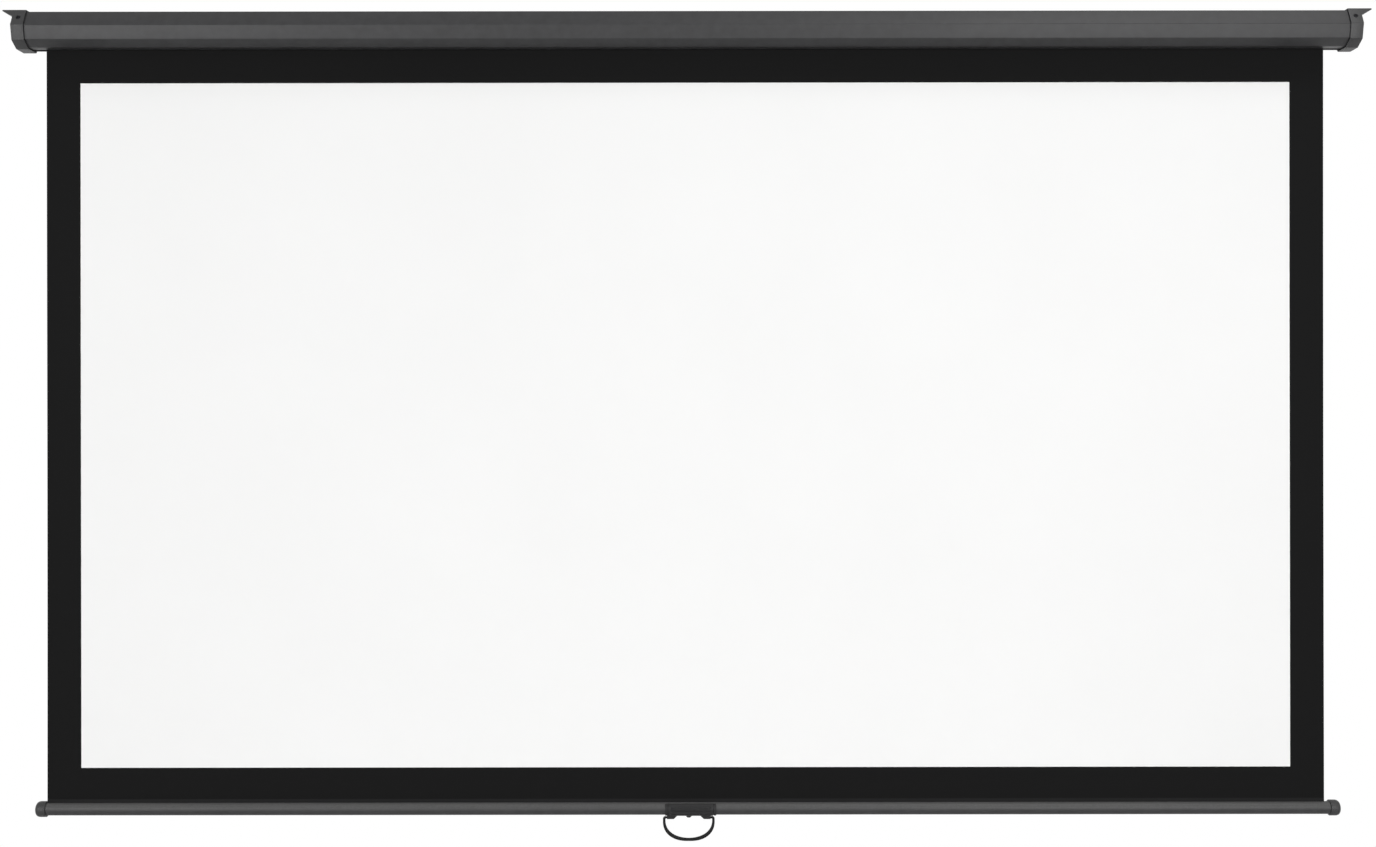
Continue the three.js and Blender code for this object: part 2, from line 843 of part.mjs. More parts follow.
function screenSheet() {
  const half = clothThickness / 2;
  const outline = rectangle(clothY - half, hemTop + seatGap, clothY + half, axisZ - seatGap);
  return barSolid(outline, -clothEdge, clothEdge);
}

function whiteFace() {
  const front = clothY - clothThickness / 2;
  const outline = rectangle(front - whiteLayerThickness, pictureBottom, front, pictureTop);
  return barSolid(outline, -pictureWidth / 2, pictureWidth / 2);
}

// The hem: two layers through the bar's slot and a loop around the rod, drawn about the bar's axis
function clothHem() {
  const inner = hemRodRadius + seatGap;
  const outer = inner + clothThickness;
  const ring = barSolid(circle(outer, smallSides, 0, pocketZ), -clothEdge, clothEdge);
  const strip = rectangle(-clothThickness, pocketZ, clothThickness, barRadius + hemRise);
  const bore = barSolid(circle(inner, smallSides, 0, pocketZ), -clothEdge - overrun, clothEdge + overrun);
  return cut(join(ring, barSolid(strip, -clothEdge, clothEdge)), bore);
}

// Bottom bar: a round tube with a slotted pocket for the hem rod, drawn about its own axis
const barAxis = [0, clothY, barZ];

function crescent(clearance) {
  const bore = barRadius - barWall - clearance;
  const pocket = pocketRadius + hemPocketWall + clearance;
  const rise = (bore * bore - pocket * pocket + pocketZ * pocketZ) / (pocketZ + pocketZ);
  const outerTurn = THREE.MathUtils.radToDeg(Math.acos(rise / bore));
  const innerTurn = THREE.MathUtils.radToDeg(Math.acos((rise - pocketZ) / pocket));
  return [
    ...openArc(bore, outerTurn, roundSides),
    ...openArc(pocket, innerTurn, smallSides, pocketZ).reverse().slice(1, -1),
  ];
}

function bottomBar() {
  const half = barSlotWidth / 2;
  const lip = THREE.MathUtils.radToDeg(Math.asin(half / barRadius));
  const mouth = THREE.MathUtils.radToDeg(Math.asin(half / pocketRadius));
  const outline = [
    ...openArc(barRadius, lip, roundSides),
    ...openArc(pocketRadius, mouth, smallSides, pocketZ).reverse(),
  ];
  return barSolid(outline, -barEnd, barEnd, [crescent(0)]);
}

function barCap() {
  const start = barEnd - barCapSleeve;
  const end = start + barCapLength;
  const domeStart = end - barCapDome;
  const flat = barCapRadius - barCapDome;
  const dome = arc(barCapDome, 90, 0, domeSteps).map((point) => {
    return [flat + point.y, domeStart + point.x];
  });
  const edge = barWall / 2;
  const body = turnedSolid(
    [[0, start], [barCapRadius - edge, start], [barCapRadius, start + edge], ...dome, [0, end]],
    roundSides,
  );
  const sleeve = rodSolid(barRadius + seatGap, start - overrun, barEnd + seatGap, roundSides);
  const spigot = barSolid(crescent(seatGap), barEnd - barCapSpigot, barEnd + overrun / 2);
  return join(cut(body, sleeve), spigot);
}

// Pull handle: a moulded clip that snaps over the bar, with two lugs for the bail
const handlePlace = [handleOffset, clothY, barZ];

function clipSleeve(outerRadius, halfLength) {
  const outline = [
    ...openArc(outerRadius, clipOpening, roundSides),
    ...openArc(clipInner, clipOpening, roundSides).reverse(),
  ];
  return barSolid(outline, clipOffset - halfLength, clipOffset + halfLength);
}

// A band along the clip between two radii, about an angle below the front of the bar
function clipBand(degrees, height, insideRadius, outsideRadius) {
  const halfTurn = THREE.MathUtils.radToDeg(height / clipOuter) / 2;
  const from = 180 + degrees - halfTurn;
  const to = 180 + degrees + halfTurn;
  const outline = [
    ...arc(outsideRadius, from, to, cornerSteps),
    ...arc(insideRadius, to, from, cornerSteps),
  ];
  return barSolid(outline, clipOffset - clipBandWidth / 2, clipOffset + clipBandWidth / 2);
}

function clipLug(innerX, outerX) {
  const root = lugRootWidth / 2;
  const rootZ = -clipInner - seatGap;
  const outline = [
    new THREE.Vector2(root, rootZ),
    new THREE.Vector2(-root, rootZ),
    ...arc(lugRadius, 180, 360, smallSides, 0, -pivotDrop),
  ];
  const pinHole = circle(bailStubRadius + slipGap, smallSides, 0, -pivotDrop);
  return barSolid(outline, innerX, outerX, [pinHole]);
}

function clipTab() {
  const root = tabDepth / 2;
  const tip = tabTipDepth / 2;
  const rootZ = -clipInner - seatGap;
  const outline = [
    new THREE.Vector2(-root, rootZ),
    new THREE.Vector2(root, rootZ),
    new THREE.Vector2(tip, -tabDrop),
    new THREE.Vector2(-tip, -tabDrop),
  ];
  return barSolid(outline, -tabWidth / 2, tabWidth / 2);
}

function handleClip() {
  const ribs = clipRibAngles.map((degrees) => {
    const outside = clipOuter + clipRibHeight;
    return clipBand(degrees, clipRibThickness, clipOuter - clipRibHeight, outside);
  });
  const grooveFloor = clipOuter - clipGrooveDepth;
  const groove = clipBand(clipGrooveAngle, clipGrooveHeight, grooveFloor, clipOuter + overrun);
  const lugs = [clipLug(lugInner, lugOuter), clipLug(-lugOuter, -lugInner)];
  const sleeve = clipSleeve(clipOuter, clipWidth / 2 - clipEndWidth);
  const ends = clipSleeve(clipOuter - clipEndStep, clipWidth / 2);
  return cut(join(sleeve, ends, ...ribs, clipTab(), ...lugs), groove);
}

// The bail: two short legs and an elliptic bow, with stubs that turn in the lugs
class BailPath extends THREE.Curve {
  getPoint(share, target = new THREE.Vector3()) {
    const bow = (Math.PI * (bailHalfWidth + bailDrop)) / 2;
    const whole = bow + bailLeg + bailLeg;
    const along = share * whole;
    if (along < bailLeg) return target.set(-bailHalfWidth, 0, -along);
    if (along > whole - bailLeg) return target.set(bailHalfWidth, 0, along - whole);
    const turn = ((along - bailLeg) / bow) * Math.PI;
    const across = Math.sign(Math.cos(turn)) * Math.abs(Math.cos(turn)) ** bailBowShare;
    const down = Math.sin(turn) ** bailBowShare;
    return target.set(-bailHalfWidth * across, 0, -bailLeg - bailDrop * down);
  }
}

function handleBail() {
  const section = new THREE.Shape(
    circle(1, bailSides).map((point) => {
      return new THREE.Vector2((point.x * bailDepth) / 2, (point.y * bailWidth) / 2);
    }),
  );
  const options = { steps: bailSteps, extrudePath: new BailPath(), bevelEnabled: false };
  const bow = solid(new THREE.ExtrudeGeometry(section, options));
  const legFace = bailHalfWidth - bailWidth / 2;
  const eye = rodSolid(bailWidth / 2, legFace, legFace + bailWidth, smallSides);
  const stub = rodSolid(bailStubRadius, legFace - bailStubLength, bailHalfWidth, smallSides);
  const end = join(eye, stub);
  return join(bow, end, mirrored(end));
}

// Assembly, from the case inwards and then down
addPiece('case_tube', caseTube(), 'casePaint');
const pinRoom = rodSolid(idlerPinRadius + slipGap, hubFace - overrun, hubFloor, smallSides);
addPiece('left_end_cap', mirrored(endCap(pinRoom)), 'capPlastic');
addPiece('right_end_cap', endCap(spearRoom(hubFace - overrun, hubFloor)), 'capPlastic');
addCapScrews();

addPiece('idler_pin', idlerPin(), 'steel', rollerAxis);
addPiece('idler_bush', idlerBush(), 'nylon', rollerAxis);
addPiece('idler_plug', idlerPlug(), 'nylon', rollerAxis);
addPiece('roller_tube', rollerTube(), 'aluminium', rollerAxis);
addPiece('cloth_spline', rodSolid(splineRadius, -clothEdge, clothEdge, smallSides / 2), 'nylon', [
  clothOffset,
  axisY,
  axisZ + rollerRadius - keyDepth + splineRadius + seatGap,
]);
addPiece('spring_arbor', springArbor(), 'steel', rollerAxis);
addPiece('arbor_bearing', arborBearing(), 'nylon', rollerAxis);
addPiece('spring_anchor', springAnchor(), 'nylon', rollerAxis);
addPiece('torsion_spring', torsionSpring(), 'steel', rollerAxis);
addPiece('pawl_carrier', pawlCarrier(), 'nylon', rollerAxis);
addPiece('ratchet_wheel', ratchetWheel(), 'steel', rollerAxis);
for (const [name, degrees] of Object.entries(pawlAngles)) {
  const pivot = polar(pivotRadius, degrees);
  const place = [0, axisY + pivot.x, axisZ + pivot.y];
  addPiece(`pawl_pin_${name}`, pawlPin(), 'steel', place);
  addPiece(`pawl_${name}`, pawl(degrees), 'steel', place);
}
addPiece('wound_cloth', woundCloth(), 'blackCloth', [clothOffset, axisY, axisZ]);

addPiece('screen_sheet', screenSheet(), 'blackCloth', [clothOffset, 0, 0]);
addPiece('white_face', whiteFace(), 'whiteCloth', [clothOffset, 0, 0]);
addPiece('cloth_hem', clothHem(), 'blackCloth', [clothOffset, clothY, barZ]);
addPiece('hem_rod', rodSolid(hemRodRadius, -clothEdge, clothEdge, smallSides), 'nylon', [
  clothOffset,
  clothY,
  barZ + pocketZ,
]);
addPiece('bottom_bar', bottomBar(), 'barPaint', barAxis);
addPiece('left_bar_cap', mirrored(barCap()), 'capPlastic', barAxis);
addPiece('right_bar_cap', barCap(), 'capPlastic', barAxis);
addPiece('handle_clip', handleClip(), 'handlePlastic', handlePlace);
addPiece('handle_bail', handleBail(), 'bailPlastic', [handleOffset, clothY, barZ - pivotDrop]);

export default screen;
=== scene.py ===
import math

import bmesh
import bpy
from mathutils import Matrix, Vector


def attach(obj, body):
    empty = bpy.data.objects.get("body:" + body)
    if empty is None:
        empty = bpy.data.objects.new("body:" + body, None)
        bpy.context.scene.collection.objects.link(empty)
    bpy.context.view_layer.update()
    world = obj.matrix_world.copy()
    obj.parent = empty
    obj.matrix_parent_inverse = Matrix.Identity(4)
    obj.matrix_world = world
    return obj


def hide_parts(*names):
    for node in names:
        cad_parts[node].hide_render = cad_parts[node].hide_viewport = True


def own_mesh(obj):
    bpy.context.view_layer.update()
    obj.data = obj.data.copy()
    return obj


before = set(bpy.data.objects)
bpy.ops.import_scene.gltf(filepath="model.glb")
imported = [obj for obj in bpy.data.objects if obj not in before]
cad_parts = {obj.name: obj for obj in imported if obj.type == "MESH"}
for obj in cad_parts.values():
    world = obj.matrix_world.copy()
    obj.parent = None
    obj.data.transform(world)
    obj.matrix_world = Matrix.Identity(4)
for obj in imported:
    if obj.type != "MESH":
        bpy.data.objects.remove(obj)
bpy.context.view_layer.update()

# The case. One sheet of steel rolled into eight facets, with a slot along its underside for the
# cloth and the slot's lips turned in. Powder coated outside in a satin dark grey with a fine
# grain, and coloured near black inside as a painted shade for the dark inside of the slot.
case_half_length = 1.2101
case_half_depth = 0.03235
case_height = 0.0627
case_top = -0.003
case_bottom = case_top - case_height
case_middle = Vector((0, 0, case_top - case_height / 2))
sheet_steel = 0.001
bend_reach = 0.0009
lip_bend_reach = 0.0012
slot_front = 0.011025
slot_rear = 0.019225
slot_lip = 0.004
facet_depths = (0.625, 0.92, 1, 0.78, 0.19, 0, 0, 0.14)
facet_drops = (1, 0.83, 0.44, 0, 0, 0.19, 0.855, 1)
case_corners = [
    Vector((0, case_half_depth * (1 - 2 * depth), case_top - case_height * drop))
    for depth, drop in zip(facet_depths, facet_drops)
]


def new_piece(name, bm):
    mesh = bpy.data.meshes.new(name)
    bm.to_mesh(mesh)
    bm.free()
    piece = bpy.data.objects.new(name, mesh)
    bpy.context.scene.collection.objects.link(piece)
    return piece


def shape_by(piece, kind, **settings):
    step = piece.modifiers.new(kind, kind)
    for name, value in settings.items():
        setattr(step, name, value)
    shaped = piece.evaluated_get(bpy.context.evaluated_depsgraph_get())
    piece.data = bpy.data.meshes.new_from_object(shaped)
    piece.modifiers.clear()


def turn_outwards(bm, centre):
    bmesh.ops.recalc_face_normals(bm, faces=bm.faces[:])
    outer = max(bm.faces, key=lambda face: (face.calc_center_median() - centre).length)
    if outer.normal.dot(outer.calc_center_median() - centre) < 0:
        bmesh.ops.reverse_faces(bm, faces=bm.faces[:])


def points_of(geom):
    return [item for item in geom if isinstance(item, bmesh.types.BMVert)]


def wire_line(bm, points):
    made = [bm.verts.new(point) for point in points]
    for start, end in zip(made, made[1:]):
        bm.edges.new((start, end))
    return made


def round_corners(bm, corners, reach, segments=5):
    bmesh.ops.bevel(
        bm,
        geom=corners,
        offset=reach,
        offset_type="OFFSET",
        segments=segments,
        profile=0.5,
        affect="VERTICES",
        material=-1,
    )


def draw_out(bm, length):
    pulled = bmesh.ops.extrude_edge_only(bm, edges=bm.edges[:])["geom"]
    bmesh.ops.translate(bm, vec=(length, 0, 0), verts=points_of(pulled))


def fit_piece(piece, body, materials, nodes=(), crease=32):
    piece.data.materials.clear()
    for material in materials:
        piece.data.materials.append(material)
    piece.data.shade_smooth()
    piece.data.set_sharp_from_angle(angle=math.radians(crease))
    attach(piece, body)
    if nodes:
        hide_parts(*nodes)


def add_node(tree, kind, settings=None, sockets=None):
    made = tree.nodes.new(kind)
    for name, value in (settings or {}).items():
        setattr(made, name, value)
    for key, value in (sockets or {}).items():
        if isinstance(value, bpy.types.NodeSocket):
            tree.links.new(value, made.inputs[key])
        else:
            made.inputs[key].default_value = value
    return made


def add_math(tree, operation, first, second):
    sockets = {0: first, 1: second}
    return add_node(tree, "ShaderNodeMath", {"operation": operation}, sockets).outputs[0]


def add_noise(tree, place, scale, detail, **more):
    sockets = {"Vector": place, "Scale": scale, "Detail": detail, **more}
    return add_node(tree, "ShaderNodeTexNoise", {}, sockets).outputs["Fac"]


def add_ramp(tree, value, start, end, first=0.0, last=1.0, **settings):
    sockets = {0: value, 1: start, 2: end, 3: first, 4: last}
    return add_node(tree, "ShaderNodeMapRange", settings, sockets).outputs[0]


def add_blend(tree, share, first, second):
    sockets = {0: share, 6: first, 7: second}
    return add_node(tree, "ShaderNodeMix", {"data_type": "RGBA"}, sockets).outputs[2]


def add_shade(tree, colour, tone):
    sockets = {0: colour, "Scale": tone}
    return add_node(tree, "ShaderNodeVectorMath", {"operation": "SCALE"}, sockets).outputs[0]


def add_group(tree, group, sockets):
    return add_node(tree, "ShaderNodeGroup", {"node_tree": group}, sockets).outputs


def add_relief(tree, shader, height, strength, depth):
    sockets = {"Strength": strength, "Distance": depth, "Height": height}
    bump = add_node(tree, "ShaderNodeBump", {}, sockets)
    tree.links.new(bump.outputs["Normal"], shader["Normal"])


def new_group(name, inputs, outputs):
    tree = bpy.data.node_groups.new(name, "ShaderNodeTree")
    kinds = {"colour": "NodeSocketColor", "number": "NodeSocketFloat", "place": "NodeSocketVector"}
    for way, labels in (("INPUT", inputs), ("OUTPUT", outputs)):
        for label, kind in labels.items():
            tree.interface.new_socket(name=label, in_out=way, socket_type=kinds[kind])
    return tree, tree.nodes.new("NodeGroupInput").outputs, tree.nodes.new("NodeGroupOutput").inputs


def new_material(name):
    material = bpy.data.materials.new(name)
    material.use_nodes = True
    tree = material.node_tree
    return material, tree, tree.nodes["Principled BSDF"].inputs


def grain_group():
    tree, given, result = new_group(
        "coat_grain",
        {"Colour": "colour", "Roughness": "number", "Grains": "number", "Speckle": "number"},
        {"Colour": "colour", "Roughness": "number", "Height": "number"},
    )
    place = add_node(tree, "ShaderNodeTexCoord").outputs["Object"]
    fine = add_noise(tree, place, given["Grains"], 2.0, Roughness=0.6)
    pebble = add_node(
        tree,
        "ShaderNodeTexVoronoi",
        {"feature": "SMOOTH_F1"},
        {"Vector": place, "Scale": given["Grains"], "Smoothness": 0.5},
    ).outputs["Distance"]
    drift = add_noise(tree, place, 4.0, 3.0)
    centred = add_math(tree, "SUBTRACT", fine, 0.5)
    slow = add_math(tree, "SUBTRACT", drift, 0.5)
    tone = add_math(tree, "MULTIPLY", centred, given["Speckle"])
    tone = add_math(tree, "ADD", add_math(tree, "MULTIPLY", slow, 0.1), tone)
    tone = add_math(tree, "ADD", tone, 1.0)
    tree.links.new(add_shade(tree, given["Colour"], tone), result["Colour"])
    gloss = add_math(tree, "ADD", given["Roughness"], add_math(tree, "MULTIPLY", centred, 0.12))
    gloss = add_math(tree, "ADD", gloss, add_math(tree, "MULTIPLY", slow, 0.1))
    tree.links.new(gloss, result["Roughness"])
    tree.links.new(add_math(tree, "ADD", fine, pebble), result["Height"])
    return tree


# Edges: a lighter colour along sharp outer edges and bends, found by pointiness with a patchy
# noise; partly rubbed wear, partly a painted highlight along the bends.
def rub_and_highlight_group():
    tree, given, result = new_group(
        "rubbed_and_highlit_edges",
        {"Colour": "colour", "Wear Highlight": "colour", "Amount": "number"},
        {"Colour": "colour"},
    )
    place = add_node(tree, "ShaderNodeTexCoord").outputs["Object"]
    bend = add_node(tree, "ShaderNodeNewGeometry").outputs["Pointiness"]
    edge = add_ramp(tree, bend, 0.52, 0.62)
    patch = add_noise(tree, place, 60.0, 4.0)
    share = add_math(tree, "MULTIPLY", add_math(tree, "MULTIPLY", edge, patch), given["Amount"])
    tree.links.new(add_blend(tree, share, given["Colour"], given["Wear Highlight"]), result["Colour"])
    return tree


coat_grain = grain_group()
rubbed_and_highlit_edges = rub_and_highlight_group()
grain_depth = 0.0003


def coated(name, colour, wear_and_highlight_colour, roughness, grains, speckle, relief, specular, edge_wear_and_highlight=0.35):
    material, tree, shader = new_material(name)
    colours = {"Colour": (*colour, 1), "Wear Highlight": (*wear_and_highlight_colour, 1), "Amount": edge_wear_and_highlight}
    worn_and_lit = add_group(tree, rubbed_and_highlit_edges, colours)
    coat = add_group(
        tree,
        coat_grain,
        {"Colour": worn_and_lit["Colour"], "Roughness": roughness, "Grains": grains, "Speckle": speckle},
    )
    tree.links.new(coat["Colour"], shader["Base Color"])
    tree.links.new(coat["Roughness"], shader["Roughness"])
    add_relief(tree, shader, coat["Height"], relief, grain_depth)
    shader["Specular IOR Level"].default_value = specular
    return material


case_paint = coated(
    "case_paint",
    colour=(0.024, 0.024, 0.0244),
    wear_and_highlight_colour=(0.08, 0.08, 0.085),
    roughness=0.45,
    grains=1400.0,
    speckle=0.22,
    relief=0.25,
    specular=0.28,
)
# Painted shade: the inside of the case is coloured near black, standing in for the shade inside the
# slot.
case_inside_shade = coated(
    "case_inside_shade",
    colour=(0.006, 0.006, 0.0062),
    wear_and_highlight_colour=(0.02, 0.02, 0.021),
    roughness=0.6,
    grains=900.0,
    speckle=0.2,
    relief=0.1,
    specular=0.1,
    edge_wear_and_highlight=0.1,
)

bm = bmesh.new()
case_line = [
    (-case_half_length, slot_front, case_bottom + slot_lip),
    (-case_half_length, slot_front, case_bottom),
    *[(-case_half_length, corner.y, corner.z) for corner in case_corners],
    (-case_half_length, slot_rear, case_bottom),
    (-case_half_length, slot_rear, case_bottom + slot_lip),
]
case_bends = wire_line(bm, case_line)[1:-1]
lip_bends = [case_bends[0], case_bends[-1]]
round_corners(bm, case_bends[1:-1], bend_reach)
round_corners(bm, lip_bends, lip_bend_reach)
draw_out(bm, case_half_length * 2)
turn_outwards(bm, case_middle)
case_shell = new_piece("case_shell", bm)
shape_by(case_shell, "SOLIDIFY", thickness=sheet_steel, offset=-1, use_even_offset=True)
fit_piece(case_shell, "case", [case_paint, case_inside_shade], ["case_tube"], 24)
# The inward faces take the painted shade.
for face in case_shell.data.polygons:
    outwards = face.center - case_middle
    outwards.x = 0
    face.material_index = 1 if face.normal.dot(outwards) < 0 else 0

# The end caps. Each is one dark grey plastic moulding: a sleeve over the case, a hanging ear on
# top with an upright screw hole, and a round recess over the screw in each upper facet.
cap_seam = 1.1936
cap_face = 1.2161
cap_wall = 0.003
cap_floor = 1.2111
cap_rounding = 0.001
cap_edge = 0.0007
pocket_gap = 0.0003
pocket_rounding = 0.0012
pocket_mouth = cap_seam - 0.01
lip_gap = 0.0018
lip_gap_depth = 0.0016
ear_tip = 1.2361
ear_top = 0.01
ear_root_drop = 0.013
ear_tip_drop = 0.0026
ear_tip_rise = 0.0005
ear_hole_radius = 0.00275
ear_hole_x = 1.2251
ear_mouth_radii = (0.0027, 0.0047)
ear_mouth_depth = 0.0007
ear_mouth_length = 0.002
recess_radius = 0.0042
recess_depth = 0.0015
recess_length = 0.004
recess_rim_radii = (recess_radius - 0.0002, recess_radius + 0.0012)
recess_rim_depth = 0.0005
recess_rim_length = 0.0014
screw_hole_radius = 0.0022
screw_hole_depth = 0.003
screw_hole_length = 0.007
screw_x = 1.20485
overcut = 0.001
far_out = 0.06
merge_reach = 0.00001


def grown_outline(distance):
    grown = []
    for index, corner in enumerate(case_corners):
        before = (corner - case_corners[index - 1]).normalized()
        after = (case_corners[(index + 1) % len(case_corners)] - corner).normalized()
        sides = Vector((0, -before.z, before.y)) + Vector((0, -after.z, after.y))
        grown.append(corner + sides * (distance / (1 + before.dot(after))))
    return grown


def prism(name, outline, from_x, to_x, rounding):
    bm = bmesh.new()
    rim = [bm.verts.new((from_x, point.y, point.z)) for point in outline]
    bm.faces.new(rim)
    round_corners(bm, rim, rounding)
    pulled = bmesh.ops.extrude_face_region(bm, geom=bm.faces[:])["geom"]
    bmesh.ops.translate(bm, vec=(to_x - from_x, 0, 0), verts=points_of(pulled))
    bmesh.ops.recalc_face_normals(bm, faces=bm.faces[:])
    return new_piece(name, bm)


def hull(name, points):
    bm = bmesh.new()
    for point in points:
        bm.verts.new(point)
    bmesh.ops.convex_hull(bm, input=bm.verts[:], use_existing_faces=False)
    bmesh.ops.dissolve_limit(bm, angle_limit=0.01, verts=bm.verts[:], edges=bm.edges[:])
    bmesh.ops.recalc_face_normals(bm, faces=bm.faces[:])
    return new_piece(name, bm)


def peg(name, start, direction, length, start_radius, end_radius=None, sides=48):
    bm = bmesh.new()
    direction = Vector(direction).normalized()
    middle = Vector(start) + direction * (length / 2)
    bmesh.ops.create_cone(
        bm,
        cap_ends=True,
        segments=sides,
        radius1=start_radius,
        radius2=end_radius or start_radius,
        depth=length,
        matrix=Matrix.Translation(middle) @ direction.to_track_quat("Z", "Y").to_matrix().to_4x4(),
    )
    return new_piece(name, bm)


def neaten(piece):
    bm = bmesh.new()
    bm.from_mesh(piece.data)
    bmesh.ops.remove_doubles(bm, verts=bm.verts[:], dist=merge_reach)
    bmesh.ops.dissolve_degenerate(bm, edges=bm.edges[:], dist=merge_reach)
    bm.to_mesh(piece.data)
    bm.free()


def carve(piece, tool, operation="DIFFERENCE"):
    shape_by(piece, "BOOLEAN", operation=operation, solver="EXACT", object=tool)
    bpy.data.objects.remove(tool)
    neaten(piece)


def soften(piece, width, segments=3):
    sharp = math.radians(30)
    shape_by(
        piece, "BEVEL", width=width, segments=segments, limit_method="ANGLE", angle_limit=sharp
    )


def mirror_copy(piece, name):
    bm = bmesh.new()
    bm.from_mesh(piece.data)
    bmesh.ops.scale(bm, vec=(-1, 1, 1), verts=bm.verts[:])
    bmesh.ops.reverse_faces(bm, faces=bm.faces[:])
    return new_piece(name, bm)


cap_plastic = coated(
    "cap_plastic",
    colour=(0.032, 0.032, 0.0325),
    wear_and_highlight_colour=(0.075, 0.075, 0.08),
    roughness=0.46,
    grains=1100.0,
    speckle=0.3,
    relief=0.4,
    specular=0.34,
)

right_cap = prism("right_cap_moulding", grown_outline(cap_wall), cap_seam, cap_face, cap_rounding)
ear = prism("ear", grown_outline(cap_wall), cap_floor, ear_tip, cap_rounding)
ear_side = [
    (cap_floor - overcut, ear_top),
    (cap_floor - overcut, -ear_root_drop),
    (cap_face, -ear_root_drop),
    (ear_tip + overcut, -ear_tip_drop + ear_tip_rise),
    (ear_tip + overcut, ear_top),
]
ear_wedge = [(x, y, z) for x, z in ear_side for y in (-far_out, far_out)]
carve(ear, hull("ear_wedge", ear_wedge), "INTERSECT")
carve(right_cap, ear, "UNION")
soften(right_cap, cap_edge)
for gap, end_x in ((pocket_gap, cap_floor), (lip_gap, cap_seam + lip_gap_depth)):
    carve(right_cap, prism("pocket", grown_outline(gap), pocket_mouth, end_x, pocket_rounding))
upright = (0, 0, 1)
hole_start = (ear_hole_x, 0, -far_out / 2)
mouth_start = (ear_hole_x, 0, -ear_mouth_depth)
carve(right_cap, peg("ear_hole", hole_start, upright, far_out, ear_hole_radius))
carve(right_cap, peg("ear_mouth", mouth_start, upright, ear_mouth_length, *ear_mouth_radii))
screw_facets = (case_corners[2:4], case_corners[4:6])
for low, high in screw_facets:
    facet = (high - low).normalized()
    outward = Vector((0, -facet.z, facet.y))
    middle = (low + high) / 2 + Vector((screw_x, 0, 0))
    floor = middle + outward * (cap_wall - recess_depth)
    rim = middle + outward * (cap_wall - recess_rim_depth)
    inside = middle - outward * screw_hole_depth
    carve(right_cap, peg("recess", floor, outward, recess_length, recess_radius))
    carve(right_cap, peg("recess_rim", rim, outward, recess_rim_length, *recess_rim_radii))
    carve(right_cap, peg("screw_hole", inside, outward, screw_hole_length, screw_hole_radius))
left_cap = mirror_copy(right_cap, "left_cap_moulding")
fit_piece(right_cap, "case", [cap_plastic], ["right_end_cap"], 28)
fit_piece(left_cap, "case", [cap_plastic], ["left_end_cap"], 28)

# Inside each cap: the plug that fills the case's end, its stiffening ribs, and the hub whose
# socket holds the roller's pin. Moulded with the cap, in the same plastic.
roller_y = -0.003
roller_z = -0.03435
plug_start = cap_seam + 0.003
plug_end = cap_floor + 0.01
plug_gap = 0.0013
plug_inside_gap = 0.0033
rib_gap = 0.002
rib_half = 0.0009
rib_plates = 4
plug_rounding = 0.0008
inner_rounding = 0.0004
hub_face = 1.1851
hub_radius = 0.01
round_socket_radius = 0.0041
flat_socket_radius = 0.0046
arbor_flats = 0.0066
socket_length = 0.1
slab_x = (1.1, 1.4)
slab_y = (roller_y - 0.02, roller_y + 0.02)
lip_room_x = (1.18, 1.2104)
lip_room_y = (slot_front - 0.0035, slot_rear + 0.0035)
lip_room_z = (case_bottom - 0.01, case_bottom + 0.0065)


def block(name, x_range, y_range, z_range):
    return hull(name, [(x, y, z) for x in x_range for y in y_range for z in z_range])


def rib_star():
    star = None
    for index in range(rib_plates):
        turn = Matrix.Rotation((index + 0.5) * math.pi / rib_plates, 4, "X")
        placed = Matrix.Translation((0, roller_y, roller_z)) @ turn
        corners = [
            placed @ Vector((x, y, z))
            for x in (cap_seam, plug_end)
            for y in (-far_out, far_out)
            for z in (-rib_half, rib_half)
        ]
        plate = hull("plate", corners)
        if star:
            carve(star, plate, "UNION")
        else:
            star = plate
    return star


def cap_core(name, flats):
    core = prism(name, grown_outline(-plug_gap), plug_start, cap_floor, plug_rounding)
    inside = grown_outline(-plug_inside_gap)
    carve(core, prism("plug_room", inside, cap_seam, plug_end, inner_rounding))
    ribs = prism("ribs", grown_outline(-rib_gap), plug_start, cap_floor, inner_rounding)
    carve(ribs, rib_star(), "INTERSECT")
    carve(core, ribs, "UNION")
    along = (1, 0, 0)
    hub_start = (hub_face, roller_y, roller_z)
    carve(core, peg("hub", hub_start, along, cap_floor - hub_face, hub_radius), "UNION")
    socket_start = (hub_face - overcut, roller_y, roller_z)
    socket_radius = flat_socket_radius if flats else round_socket_radius
    socket = peg("socket", socket_start, along, socket_length, socket_radius)
    if flats:
        slab_z = (roller_z - flats / 2, roller_z + flats / 2)
        carve(socket, block("slab", slab_x, slab_y, slab_z), "INTERSECT")
    carve(core, socket)
    carve(core, block("lip_room", lip_room_x, lip_room_y, lip_room_z))
    return core


right_core = cap_core("right_cap_core", arbor_flats)
fit_piece(right_core, "case", [cap_plastic])
round_core = cap_core("round_core", 0)
left_core = mirror_copy(round_core, "left_cap_core")
bpy.data.objects.remove(round_core)
fit_piece(left_core, "case", [cap_plastic])

# The pieces drawn whole in the frame get their finishes here: the cap screws, the roller's
# aluminium tube and cloth key, the nylon plugs and bearings at its ends, the steel pins, arbor,
# spring, ratchet and pawls, and the rod in the hem.


